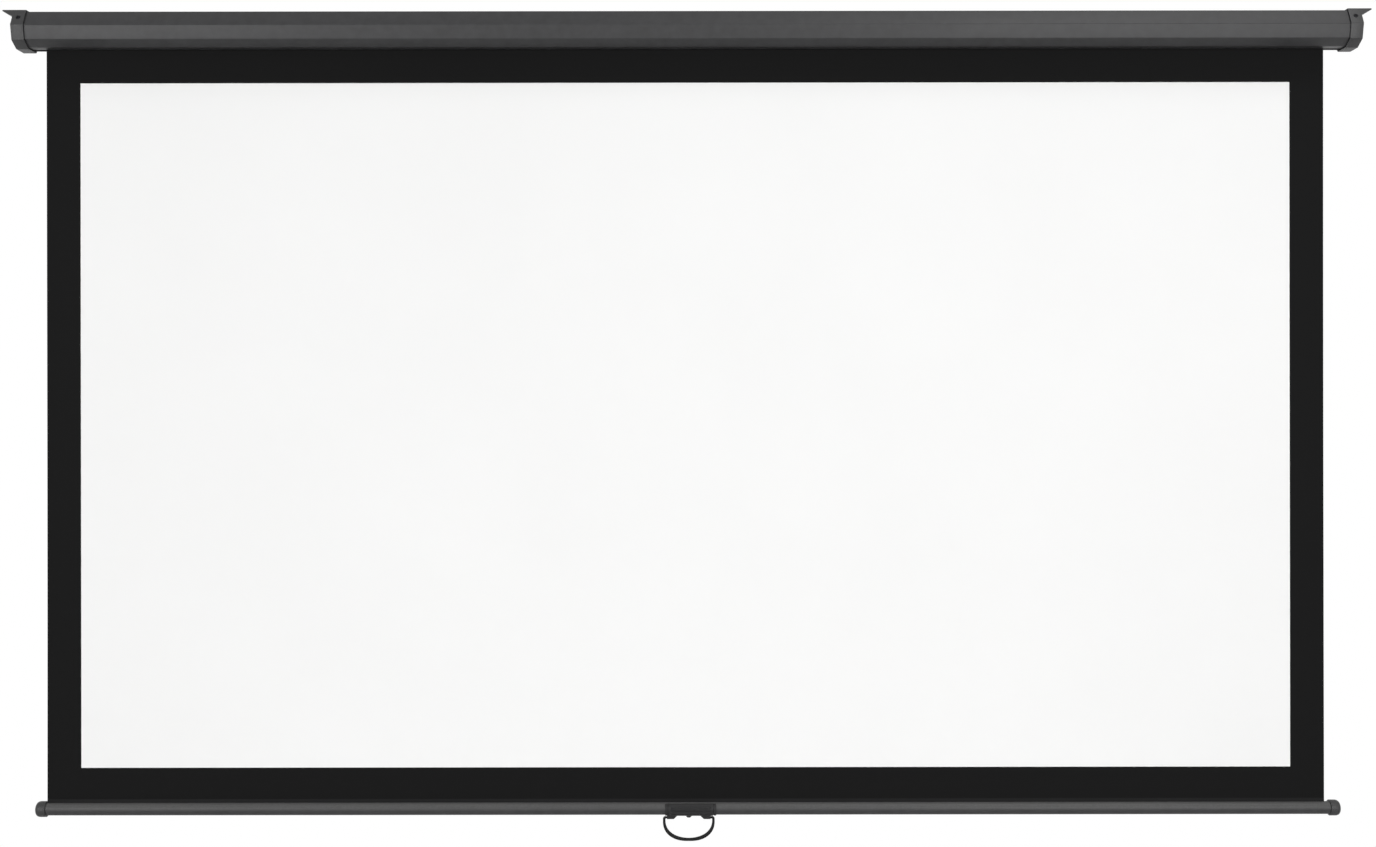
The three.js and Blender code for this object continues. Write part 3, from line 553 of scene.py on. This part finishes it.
def line_group():
    tree, given, result = new_group(
        "drawn_lines",
        {"Colour": "colour", "Roughness": "number", "Stretch": "place"},
        {"Colour": "colour", "Roughness": "number", "Height": "number"},
    )
    place = add_node(tree, "ShaderNodeTexCoord").outputs["Object"]
    pulled = add_node(
        tree, "ShaderNodeVectorMath", {"operation": "MULTIPLY"}, {0: place, 1: given["Stretch"]}
    ).outputs[0]
    lines = add_noise(tree, pulled, 1.0, 3.0)
    centred = add_math(tree, "SUBTRACT", lines, 0.5)
    tone = add_math(tree, "ADD", add_math(tree, "MULTIPLY", centred, 0.5), 1.0)
    tree.links.new(add_shade(tree, given["Colour"], tone), result["Colour"])
    gloss = add_math(tree, "ADD", given["Roughness"], add_math(tree, "MULTIPLY", centred, 0.3))
    tree.links.new(gloss, result["Roughness"])
    tree.links.new(lines, result["Height"])
    return tree


drawn_lines = line_group()
line_relief = 0.15
line_depth = 0.0002


def drawn_metal(name, colour, roughness, stretch):
    material, tree, shader = new_material(name)
    sockets = {"Colour": (*colour, 1), "Roughness": roughness, "Stretch": stretch}
    lines = add_group(tree, drawn_lines, sockets)
    tree.links.new(lines["Colour"], shader["Base Color"])
    tree.links.new(lines["Roughness"], shader["Roughness"])
    add_relief(tree, shader, lines["Height"], line_relief, line_depth)
    shader["Metallic"].default_value = 1.0
    return material


steel = drawn_metal("bright_steel", (0.55, 0.56, 0.57), 0.32, (60, 2500, 2500))
black_steel = drawn_metal("black_steel", (0.02, 0.02, 0.022), 0.5, (900, 900, 900))
aluminium = drawn_metal("mill_aluminium", (0.62, 0.63, 0.64), 0.4, (20, 3000, 3000))
nylon = coated(
    "nylon",
    colour=(0.72, 0.69, 0.62),
    wear_and_highlight_colour=(0.8, 0.78, 0.72),
    roughness=0.45,
    grains=500.0,
    speckle=0.08,
    relief=0.12,
    specular=0.5,
    edge_wear_and_highlight=0.1,
)

frame_finishes = {
    "cap_screw_left_front": black_steel,
    "cap_screw_left_rear": black_steel,
    "cap_screw_right_front": black_steel,
    "cap_screw_right_rear": black_steel,
    "idler_pin": steel,
    "idler_bush": nylon,
    "idler_plug": nylon,
    "roller_tube": aluminium,
    "cloth_spline": nylon,
    "spring_arbor": steel,
    "arbor_bearing": nylon,
    "spring_anchor": nylon,
    "torsion_spring": steel,
    "pawl_carrier": nylon,
    "ratchet_wheel": steel,
    "pawl_pin_upper": steel,
    "pawl_upper": steel,
    "pawl_pin_lower": steel,
    "pawl_lower": steel,
    "hem_rod": nylon,
}
for node, finish in frame_finishes.items():
    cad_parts[node].material_slots[0].material = finish

# The hanging cloth. Coated cloth, black behind and along its four edges, with a matt white
# picture area in front. It hangs from the roller through the slot and is pulled flat by the bar.
cloth_width = 2.334
cloth_centre = -0.004
cloth_left = cloth_centre - cloth_width / 2
cloth_top = -0.03465
cloth_foot = -1.43455
cloth_height = cloth_top - cloth_foot
cloth_front = 0.01525
cloth_thickness = 0.0006
picture_half_width = 1.105
picture_top = -0.1257
picture_foot = -1.377
picture_white = (0.93, 0.93, 0.925)
border_black = (0.0082, 0.0082, 0.0083)
back_black = (0.009, 0.009, 0.0093)
print_softness = 0.0002
threads = 7000.0
weave_depth = 0.0002
ripple_depth = 0.0004
ripple_across = (7.3, 0.8)
ripple_down = (5.1, 0.4)
curl_start = 0.985
curl_band = 0.015
curl_depth = 0.0012


def weave_group():
    tree, given, result = new_group(
        "cloth_weave", {"Place": "place", "Threads": "number"}, {"Height": "number"}
    )
    split = add_node(tree, "ShaderNodeSeparateXYZ", {}, {0: given["Place"]}).outputs
    across = add_math(tree, "SINE", add_math(tree, "MULTIPLY", split[0], given["Threads"]), 0.0)
    along = add_math(tree, "SINE", add_math(tree, "MULTIPLY", split[1], given["Threads"]), 0.0)
    crossed = add_math(tree, "MULTIPLY", across, along)
    slub = add_noise(tree, given["Place"], 260.0, 3.0)
    height = add_math(tree, "ADD", add_math(tree, "MULTIPLY", crossed, 0.5), slub)
    tree.links.new(height, result["Height"])
    return tree


cloth_weave = weave_group()


def add_weave(tree, shader, place, relief):
    weave = add_group(tree, cloth_weave, {"Place": place, "Threads": threads})
    add_relief(tree, shader, weave["Height"], relief, weave_depth)


def metric_uv(tree):
    cut = add_node(tree, "ShaderNodeUVMap", {"uv_map": "cut"}).outputs["UV"]
    sockets = {0: cut, 1: (cloth_width, cloth_height, 1.0)}
    return add_node(tree, "ShaderNodeVectorMath", {"operation": "MULTIPLY"}, sockets).outputs[0]


def within(tree, value, low, high):
    rise = add_ramp(tree, value, low - print_softness, low + print_softness)
    fall = add_ramp(tree, value, high - print_softness, high + print_softness, 1.0, 0.0)
    return add_math(tree, "MULTIPLY", rise, fall)


def front_cloth():
    material, tree, shader = new_material("cloth_front")
    place = metric_uv(tree)
    split = add_node(tree, "ShaderNodeSeparateXYZ", {}, {0: place}).outputs
    side = (cloth_width / 2 - picture_half_width, cloth_width / 2 + picture_half_width)
    rise = (picture_foot - cloth_foot, picture_top - cloth_foot)
    white = add_math(tree, "MULTIPLY", within(tree, split[0], *side), within(tree, split[1], *rise))
    tone = add_ramp(tree, add_noise(tree, place, 3.0, 3.0), 0.3, 0.7, 0.985, 1.0)
    colour = add_blend(tree, white, (*border_black, 1), (*picture_white, 1))
    tree.links.new(add_shade(tree, colour, tone), shader["Base Color"])
    tree.links.new(add_ramp(tree, white, 0.0, 1.0, 0.72, 0.9), shader["Roughness"])
    add_weave(tree, shader, place, 0.12)
    shader["Specular IOR Level"].default_value = 0.05
    return material


def back_cloth():
    material, tree, shader = new_material("cloth_back")
    place = add_node(tree, "ShaderNodeTexCoord").outputs["Object"]
    laid_flat = {"Vector": place, "Rotation": (math.radians(-90), 0, 0)}
    flat = add_node(tree, "ShaderNodeMapping", {}, laid_flat).outputs[0]
    tone = add_ramp(tree, add_noise(tree, place, 5.0, 4.0), 0.3, 0.7, 0.85, 1.15)
    tree.links.new(add_shade(tree, back_black, tone), shader["Base Color"])
    add_weave(tree, shader, flat, 0.3)
    shader["Roughness"].default_value = 0.75
    shader["Specular IOR Level"].default_value = 0.15
    return material


cloth_front_side = front_cloth()
cloth_back_side = back_cloth()

bm = bmesh.new()
bm.loops.layers.uv.new("cut")
bmesh.ops.create_grid(bm, x_segments=116, y_segments=70, size=0.5, calc_uvs=True)
bmesh.ops.transform(
    bm,
    matrix=Matrix.Translation((cloth_centre, cloth_front, (cloth_top + cloth_foot) / 2))
    @ Matrix.Rotation(math.radians(90), 4, "X")
    @ Matrix.Diagonal((cloth_width, cloth_height, 1, 1)),
    verts=bm.verts[:],
)
for vert in bm.verts:
    drop = (cloth_top - vert.co.z) / cloth_height
    held = math.sin(math.pi * min(max(drop, 0), 1))
    across = math.sin(vert.co.x * ripple_across[0] + ripple_across[1])
    down = math.sin(drop * ripple_down[0] + ripple_down[1])
    ripple = across * down * ripple_depth
    aside = abs(vert.co.x - cloth_centre) / (cloth_width / 2)
    curl = max(0, aside - curl_start) / curl_band
    vert.co.y += (ripple + curl * curl * curl_depth) * held
hanging_cloth = new_piece("hanging_cloth", bm)
shape_by(hanging_cloth, "SOLIDIFY", thickness=cloth_thickness, offset=-1)
fit_piece(
    hanging_cloth,
    "case",
    [cloth_front_side, cloth_back_side],
    ["screen_sheet", "white_face"],
)
for face in hanging_cloth.data.polygons:
    face.material_index = 0 if face.normal.y < -0.5 else 1
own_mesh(hanging_cloth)

# The cloth left on the roller: its last two turns, the same cloth as the hanging part. They
# lie in one spiral round the tube and turn with it.
wrap_radius = 0.017025
wrap_pitch = 0.0008
wrap_turns = 2
wrap_steps = 48
wrap_thickness = 0.00045

bm = bmesh.new()
spiral = []
for step in range(wrap_turns * wrap_steps + 1):
    turns = step / wrap_steps
    angle = (wrap_turns - turns) * math.tau
    radius = wrap_radius + wrap_pitch * turns
    spiral.append(
        (cloth_left, roller_y + radius * math.cos(angle), roller_z + radius * math.sin(angle))
    )
wire_line(bm, spiral)
draw_out(bm, cloth_width)
bmesh.ops.recalc_face_normals(bm, faces=bm.faces[:])
rolled_cloth = new_piece("rolled_cloth", bm)
shape_by(rolled_cloth, "SOLIDIFY", thickness=wrap_thickness, offset=0)
fit_piece(rolled_cloth, "roller", [cloth_back_side], ["wound_cloth"])

# The hem. The cloth's foot is turned round a nylon rod and welded to itself, and the rod keeps
# it in the bar's slot.
bar_y = 0.015625
bar_z = -1.4522
hem_rod_z = bar_z + 0.00525
hem_loop_radius = 0.003525
hem_layer = 0.00045
hem_fullness = 0.96
hem_loop_steps = 40


def sweep_round(bm, geom, centre, angle, steps, merge=False):
    return bmesh.ops.spin(
        bm,
        geom=geom,
        cent=centre,
        axis=(1, 0, 0),
        dvec=(0, 0, 0),
        angle=angle,
        steps=steps,
        use_merge=merge,
    )["geom_last"]


bm = bmesh.new()
lean = math.asin(hem_layer / 2 / hem_loop_radius)
shoulder = hem_rod_z + hem_loop_radius * math.cos(lean)
front_y = bar_y - hem_layer / 2
front_layer = wire_line(bm, [(cloth_left, front_y, z) for z in (cloth_foot, shoulder)])
loop_centre = (cloth_left, bar_y, hem_rod_z)
loop = sweep_round(bm, [front_layer[-1]], loop_centre, math.tau - 2 * lean, hem_loop_steps)
back_top = bm.verts.new((cloth_left, bar_y + hem_layer / 2, cloth_foot))
bm.edges.new((points_of(loop)[0], back_top))
draw_out(bm, cloth_width)
bmesh.ops.recalc_face_normals(bm, faces=bm.faces[:])
hem = new_piece("hem", bm)
shape_by(hem, "SOLIDIFY", thickness=hem_layer * hem_fullness, offset=0, use_even_offset=True)
fit_piece(hem, "bar", [cloth_back_side], ["cloth_hem"])

# The bottom bar. A round steel tube rolled with a slotted pocket along its top for the hem,
# powder coated like the case, and coloured paler along its upper side as a painted highlight. Its
# weight keeps the cloth flat.
bar_half_length = 1.1764
bar_radius = 0.0115
bar_wall = 0.00125
slot_half = 0.0012
slot_rounding = 0.0004
pocket_radius = 0.00425
skin_steps = 72
pocket_steps = 36
bar_colour = (0.034, 0.034, 0.0344)
painted_highlight_colour = (0.095, 0.095, 0.093)
highlight_start_z = bar_z - 0.003
highlight_full_z = bar_z + 0.0085

bar_paint = coated(
    "bar_paint",
    colour=bar_colour,
    wear_and_highlight_colour=(0.09, 0.09, 0.095),
    roughness=0.45,
    grains=1500.0,
    speckle=0.18,
    relief=0.15,
    specular=0.19,
)
# Painted highlight: the bar's colour turns paler towards its top, broken by a noise mottle, in
# place of light from above.
tree = bar_paint.node_tree
place = add_node(tree, "ShaderNodeTexCoord").outputs["Object"]
height = add_node(tree, "ShaderNodeSeparateXYZ", {}, {0: place}).outputs["Z"]
flecks = add_math(tree, "ADD", add_noise(tree, place, 300.0, 4.0), 0.5)
painted_highlight = add_math(tree, "MULTIPLY", add_ramp(tree, height, highlight_start_z, highlight_full_z), flecks)
highlighted_colour = add_blend(tree, painted_highlight, (*bar_colour, 1), (*painted_highlight_colour, 1))
worn_and_lit = next(node for node in tree.nodes if node.type == "GROUP" and node.node_tree == rubbed_and_highlit_edges)
tree.links.new(highlighted_colour, worn_and_lit.inputs["Colour"])


def arc_from(bm, centre, radius, half_gap, steps):
    gap = math.asin(half_gap / radius)
    start = Vector(centre) + Vector((0, -radius * math.sin(gap), radius * math.cos(gap)))
    first = bm.verts.new(start)
    last = points_of(sweep_round(bm, [first], centre, math.tau - 2 * gap, steps))[0]
    return first, last


bm = bmesh.new()
bar_start = (-bar_half_length, bar_y, bar_z)
skin_start, skin_end = arc_from(bm, bar_start, bar_radius, slot_half, skin_steps)
pocket_centre = (-bar_half_length, bar_y, hem_rod_z)
pocket_start, pocket_end = arc_from(bm, pocket_centre, pocket_radius, slot_half, pocket_steps)
bm.edges.new((skin_start, pocket_start))
bm.edges.new((skin_end, pocket_end))
round_corners(bm, [skin_start, skin_end], slot_rounding, 3)
draw_out(bm, bar_half_length * 2)
turn_outwards(bm, Vector((0, bar_y, bar_z)))
weight_bar = new_piece("weight_bar", bm)
shape_by(weight_bar, "SOLIDIFY", thickness=bar_wall, offset=-1, use_even_offset=True)
fit_piece(weight_bar, "bar", [bar_paint], ["bottom_bar"])

# The bar's end caps. Domed plastic mouldings pushed over the ends of the bar, which stop it
# against the underside of the case when it is wound right up.
bar_cap_start = 1.1714
bar_cap_end = 1.1905
bar_cap_radius = 0.01425
bar_cap_dome = 0.009
bar_cap_fullness = 0.8
bar_cap_bore = 0.0118
bar_cap_seat = 1.1767
bar_cap_rim = 0.0006
dome_steps = 12
round_steps = 64


def bar_cap(name):
    bm = bmesh.new()
    line = [
        (bar_cap_seat, 0),
        (bar_cap_seat, bar_cap_bore),
        (bar_cap_start, bar_cap_bore),
        (bar_cap_start, bar_cap_radius - bar_cap_rim),
        (bar_cap_start + bar_cap_rim / 3, bar_cap_radius - bar_cap_rim / 3),
        (bar_cap_start + bar_cap_rim, bar_cap_radius),
        (bar_cap_end - bar_cap_dome, bar_cap_radius),
    ]
    for step in range(1, dome_steps + 1):
        angle = step / dome_steps * math.pi / 2
        bulge = bar_cap_dome * math.sin(angle) ** bar_cap_fullness
        fall = bar_cap_dome * (1 - math.cos(angle) ** bar_cap_fullness)
        line.append((bar_cap_end - bar_cap_dome + bulge, bar_cap_radius - fall))
    line.append((bar_cap_end, 0))
    wire_line(bm, [(x, bar_y, bar_z + radius) for x, radius in line])
    half_section = bm.verts[:] + bm.edges[:]
    sweep_round(bm, half_section, (0, bar_y, bar_z), math.tau, round_steps, merge=True)
    bmesh.ops.remove_doubles(bm, verts=bm.verts[:], dist=merge_reach)
    bmesh.ops.recalc_face_normals(bm, faces=bm.faces[:])
    return new_piece(name, bm)


right_bar_end = bar_cap("right_bar_end")
left_bar_end = mirror_copy(right_bar_end, "left_bar_end")
fit_piece(right_bar_end, "bar", [cap_plastic], ["right_bar_cap"])
fit_piece(left_bar_end, "bar", [cap_plastic], ["left_bar_cap"])

# The handle clip. A charcoal plastic sleeve that snaps over the middle of the bar, with two
# plain ribs and a groove on its front, a small tab and two lugs that carry the bail. Turns
# round the bar are in degrees, from straight forward downwards.
handle_x = 0.0015
clip_x = 0.0049
clip_half_width = 0.0465
clip_inner = 0.0118
clip_outer = 0.0136
clip_opening = 38
clip_edge = 0.00025
clip_end_width = 0.005
clip_end_step = 0.0005
clip_line_width = 0.0016
clip_line_depth = 0.0014
clip_line_reach = 0.035
clip_channel_depth = 0.0012
channel_half_turn = 7.5
rib_turns = (-16, 6)
rib_half_turn = 3
rib_margin = 0.001
rib_rise = 0.0004
groove_turns = (37.5, 44.5)
groove_depth = 0.001
facet_turn = 4.7
pivot_drop = 0.0165
pin_hole_radius = 0.00195
pin_hole_reach = 0.1
between_lugs = 0.02
between_half = 0.01
root_z = bar_z - clip_inner - 0.0004
lug_inner = 0.0275
lug_outer = 0.04
lug_radius = 0.0033
lug_flare = 0.0068
lug_root_half = 0.005
lug_steps = 32
tab_drop = 0.017
tab_root = (0.0065, 0.0025)
tab_tip = (0.0025, 0.001)
lug_edge = 0.0004

handle_plastic = coated(
    "handle_plastic",
    colour=(0.022, 0.022, 0.0224),
    wear_and_highlight_colour=(0.055, 0.055, 0.06),
    roughness=0.5,
    grains=1300.0,
    speckle=0.25,
    relief=0.3,
    specular=0.18,
)


def clip_side(side):
    seam_x = clip_half_width - clip_end_width
    marks = [
        (clip_half_width, clip_outer - clip_end_step),
        (seam_x + clip_line_width / 2, clip_outer - clip_end_step),
        (seam_x + clip_line_width / 2, clip_outer - clip_line_depth),
        (seam_x - clip_line_width / 2, clip_outer - clip_line_depth),
        (seam_x - clip_line_width / 2, clip_outer),
        (clip_line_reach + rib_margin, clip_outer),
        (clip_line_reach, clip_outer),
    ]
    return [(clip_x + side * x, radius) for x, radius in marks]


def press(bm, reach_x, low_turn, high_turn, depth):
    bm.normal_update()
    picked = []
    for face in bm.faces:
        middle = face.calc_center_median()
        ray = Vector((0, middle.y - bar_y, middle.z - bar_z))
        turn = math.degrees(math.atan2(-ray.z, -ray.y))
        faces_out = face.normal.dot(ray.normalized()) > 0.7
        if faces_out and abs(middle.x - clip_x) < reach_x and low_turn < turn < high_turn:
            picked.append(face)
    pulled = bmesh.ops.extrude_face_region(bm, geom=picked)["geom"]
    bmesh.ops.delete(bm, geom=picked, context="FACES")
    for vert in points_of(pulled):
        ray = Vector((0, vert.co.y - bar_y, vert.co.z - bar_z))
        vert.co -= ray.normalized() * depth


bm = bmesh.new()
turned = clip_opening - 90
ray = Vector((0, -math.cos(math.radians(turned)), -math.sin(math.radians(turned))))
section = [(clip_x - clip_half_width, clip_inner), (clip_x + clip_half_width, clip_inner)]
section += clip_side(1) + list(reversed(clip_side(-1)))
rim = [bm.verts.new(Vector((x, bar_y, bar_z)) + ray * radius) for x, radius in section]
ring = rim + [bm.edges.new(pair) for pair in zip(rim, rim[1:] + rim[:1])]
rib_steps = (-channel_half_turn, -rib_half_turn, rib_half_turn, channel_half_turn)
stops = [turn + step for turn in rib_turns for step in rib_steps]
for stop in (*stops, *groove_turns, 270 - clip_opening):
    steps = max(1, round((stop - turned) / facet_turn))
    ring = sweep_round(bm, ring, (0, bar_y, bar_z), math.radians(stop - turned), steps)
    turned = stop
bmesh.ops.holes_fill(bm, edges=[edge for edge in bm.edges if len(edge.link_faces) == 1], sides=0)
bmesh.ops.recalc_face_normals(bm, faces=bm.faces[:])
for turn in rib_turns:
    channel = (turn - channel_half_turn, turn + channel_half_turn)
    rib = (turn - rib_half_turn, turn + rib_half_turn)
    press(bm, clip_line_reach + rib_margin, *channel, clip_channel_depth)
    press(bm, clip_line_reach, *rib, -clip_channel_depth - rib_rise)
press(bm, clip_line_reach, *groove_turns, groove_depth)
clip = new_piece("pull_clip", bm)
soften(clip, clip_edge, 2)
for side in (-1, 1):
    outer_x = handle_x + side * lug_outer
    inner_x = handle_x + side * lug_inner
    root_x = handle_x + side * (lug_inner - lug_flare)
    root_sides = (bar_y - lug_root_half, bar_y + lug_root_half)
    points = [(x, y, root_z) for x in (root_x, outer_x) for y in root_sides]
    for step in range(lug_steps):
        angle = step / lug_steps * math.tau
        y = bar_y + lug_radius * math.cos(angle)
        z = bar_z - pivot_drop + lug_radius * math.sin(angle)
        points += [(inner_x, y, z), (outer_x, y, z)]
    lug = hull("lug", points)
    soften(lug, lug_edge)
    carve(clip, lug, "UNION")
tab_ends = ((*tab_root, root_z), (*tab_tip, bar_z - tab_drop))
tab = hull(
    "tab",
    [
        (handle_x + x, bar_y + y, z)
        for half_x, half_y, z in tab_ends
        for x in (-half_x, half_x)
        for y in (-half_y, half_y)
    ],
)
soften(tab, lug_edge)
carve(clip, tab, "UNION")
pivot_z = bar_z - pivot_drop
pin_start = (handle_x - pin_hole_reach, bar_y, pivot_z)
pin_hole = peg("pin_hole", pin_start, (1, 0, 0), 2 * pin_hole_reach, pin_hole_radius)
middle = block(
    "middle",
    (handle_x - between_lugs, handle_x + between_lugs),
    (bar_y - between_half, bar_y + between_half),
    (pivot_z - between_half, pivot_z + between_half),
)
carve(pin_hole, middle)
carve(clip, pin_hole)
fit_piece(clip, "bar", [handle_plastic], ["handle_clip"], 28)

# The bail. A near black plastic pull in the shape of a D, whose ends turn in and run in the
# clip's lugs. Its places are (across, down) from the middle of the pivot, with the share of the
# full radius at each.
bail_half_width = 0.045
bail_leg = 0.006
bail_drop = 0.0345
bail_fullness = 0.89
bail_radius = 0.0026
bail_steps = 44
leg_share = 0.91
side_gain = 0.28
foot_gain = 0.17
stub_share = 0.72
stub_start = 0.0306
stub_end = 0.0412
neck_x = 0.0418
neck_drop = 0.0001
bend_x = 0.0424
bend_radius = 0.0025
bend_drop = 0.0026
bend_steps = 5

bail_plastic = coated(
    "bail_plastic",
    colour=(0.006, 0.006, 0.0063),
    wear_and_highlight_colour=(0.025, 0.025, 0.027),
    roughness=0.5,
    grains=900.0,
    speckle=0.15,
    relief=0.15,
    specular=0.15,
)

path = [(stub_start, 0, stub_share), (stub_end, 0, stub_share), (neck_x, -neck_drop, leg_share)]
for step in range(1, bend_steps):
    angle = step / bend_steps * math.pi / 2
    x = bend_x + bend_radius * math.sin(angle)
    path.append((x, -bend_radius * (1 - math.cos(angle)), leg_share))
path.append((bail_half_width, -bend_drop, leg_share))
for step in range(bail_steps // 2 + 1):
    angle = step / bail_steps * math.pi
    x = bail_half_width * math.cos(angle) ** bail_fullness
    z = -bail_leg - bail_drop * math.sin(angle) ** bail_fullness
    share = leg_share + side_gain * math.sin(2 * angle) + foot_gain * math.sin(angle) ** 2
    path.append((x, z, share))
path += [(-x, z, share) for x, z, share in reversed(path[:-1])]

line = bpy.data.curves.new("bail_line", "CURVE")
line.dimensions = "3D"
line.bevel_depth = bail_radius
line.bevel_resolution = 5
line.use_fill_caps = True
spline = line.splines.new("POLY")
spline.points.add(len(path) - 1)
for point, (x, z, share) in zip(spline.points, path):
    point.co = (handle_x + x, bar_y, pivot_z + z, 1)
    point.radius = share
drawn = bpy.data.objects.new("drawn", line)
bpy.context.scene.collection.objects.link(drawn)
bpy.context.view_layer.update()
swept = drawn.evaluated_get(bpy.context.evaluated_depsgraph_get())
bm = bmesh.new()
bm.from_mesh(bpy.data.meshes.new_from_object(swept))
bpy.data.objects.remove(drawn)
bmesh.ops.remove_doubles(bm, verts=bm.verts[:], dist=merge_reach)
bmesh.ops.recalc_face_normals(bm, faces=bm.faces[:])
bail = new_piece("pull_bail", bm)
fit_piece(bail, "bail", [bail_plastic], ["handle_bail"], 50)

# The studio: a pale round floor under the hanging screen, a white surround, and soft lamps in
# front, above and behind. The camera stands level with the middle of the screen.
floor_height = -2.35
floor_radius = 2.6
floor_fade_start = 1.2
floor_fade_end = 2.5
floor_glow = 0.12
ambient_light = 0.15

camera = bpy.data.objects.new("camera", bpy.data.cameras.new("camera"))
camera.data.lens = 41.2
camera.data.sensor_width = 36
camera.data.clip_end = 60
camera.location = (0.0009, -2.864, -0.7487)
camera.rotation_euler = (math.radians(90), math.radians(0.069), 0)
bpy.context.scene.collection.objects.link(camera)
bpy.context.scene.camera = camera


def add_lamp(name, place, target, width, height, power, in_gloss=True):
    lamp = bpy.data.objects.new(name, bpy.data.lights.new(name, "AREA"))
    lamp.data.shape = "RECTANGLE"
    lamp.data.size = width
    lamp.data.size_y = height
    lamp.data.energy = power
    lamp.location = place
    aim = Vector(target) - Vector(place)
    lamp.rotation_euler = aim.to_track_quat("-Z", "Y").to_euler()
    lamp.visible_camera = False
    lamp.visible_glossy = in_gloss
    bpy.context.scene.collection.objects.link(lamp)


add_lamp("left_lamp", (-2.7, -3.7, -0.5), (-0.4, 0, -0.7), 1.3, 1.3, 86)
add_lamp("right_lamp", (1.75, -3.6, -0.5), (0.3, 0, -0.7), 1.2, 1.2, 73)
add_lamp("top_lamp", (1.7, -2.0, 3.6), (0.6, 0, -0.5), 1.6, 1.2, 56)
add_lamp("rear_left_lamp", (-3.4, 3.0, 0.4), (0, 0, -0.6), 1.8, 1.8, 85, in_gloss=False)
add_lamp("rear_right_lamp", (3.4, 3.0, 0.4), (0, 0, -0.6), 1.8, 1.8, 85, in_gloss=False)

bm = bmesh.new()
bmesh.ops.create_circle(bm, cap_ends=True, segments=128, radius=floor_radius)
bmesh.ops.translate(bm, vec=(0, 0, floor_height), verts=bm.verts[:])
floor = new_piece("floor", bm)
floor_paint, tree, shader = new_material("floor_paint")
shader["Base Color"].default_value = (0.86, 0.86, 0.86, 1)
shader["Roughness"].default_value = 0.7
shader["Specular IOR Level"].default_value = 0.2
shader["Emission Color"].default_value = (1, 1, 1, 1)
seen = add_node(tree, "ShaderNodeLightPath").outputs["Is Camera Ray"]
tree.links.new(add_math(tree, "MULTIPLY", seen, floor_glow), shader["Emission Strength"])
place = add_node(tree, "ShaderNodeTexCoord").outputs["Object"]
spread = add_node(
    tree, "ShaderNodeVectorMath", {"operation": "MULTIPLY"}, {0: place, 1: (1, 1, 0)}
).outputs[0]
length = add_node(tree, "ShaderNodeVectorMath", {"operation": "LENGTH"}, {0: spread})
reach = length.outputs["Value"]
fade = add_ramp(tree, reach, floor_fade_start, floor_fade_end, interpolation_type="SMOOTHSTEP")
underneath = add_node(tree, "ShaderNodeNewGeometry").outputs["Backfacing"]
fade = add_math(tree, "MAXIMUM", fade, underneath)
painted = tree.nodes["Principled BSDF"].outputs[0]
open_air = add_node(tree, "ShaderNodeBsdfTransparent").outputs[0]
faded = add_node(tree, "ShaderNodeMixShader", {}, {0: fade, 1: painted, 2: open_air})
tree.links.new(faded.outputs[0], tree.nodes["Material Output"].inputs["Surface"])
floor.data.materials.append(floor_paint)

world = bpy.data.worlds.new("studio")
bpy.context.scene.world = world
world.use_nodes = True
tree = world.node_tree
tree.nodes.clear()
ray = add_node(tree, "ShaderNodeLightPath").outputs
seen = add_math(tree, "MAXIMUM", ray["Is Camera Ray"], ray["Is Glossy Ray"])
seen = add_math(tree, "MAXIMUM", seen, ray["Is Transmission Ray"])
white = (1, 1, 1, 1)
ambient = add_node(tree, "ShaderNodeBackground", {}, {0: white, 1: ambient_light}).outputs[0]
surround = add_node(tree, "ShaderNodeBackground", {}, {0: white, 1: 1.0}).outputs[0]
chosen = add_node(tree, "ShaderNodeMixShader", {}, {0: seen, 1: ambient, 2: surround})
output = add_node(tree, "ShaderNodeOutputWorld")
tree.links.new(chosen.outputs[0], output.inputs["Surface"])

bpy.context.scene.view_settings.view_transform = "Standard"
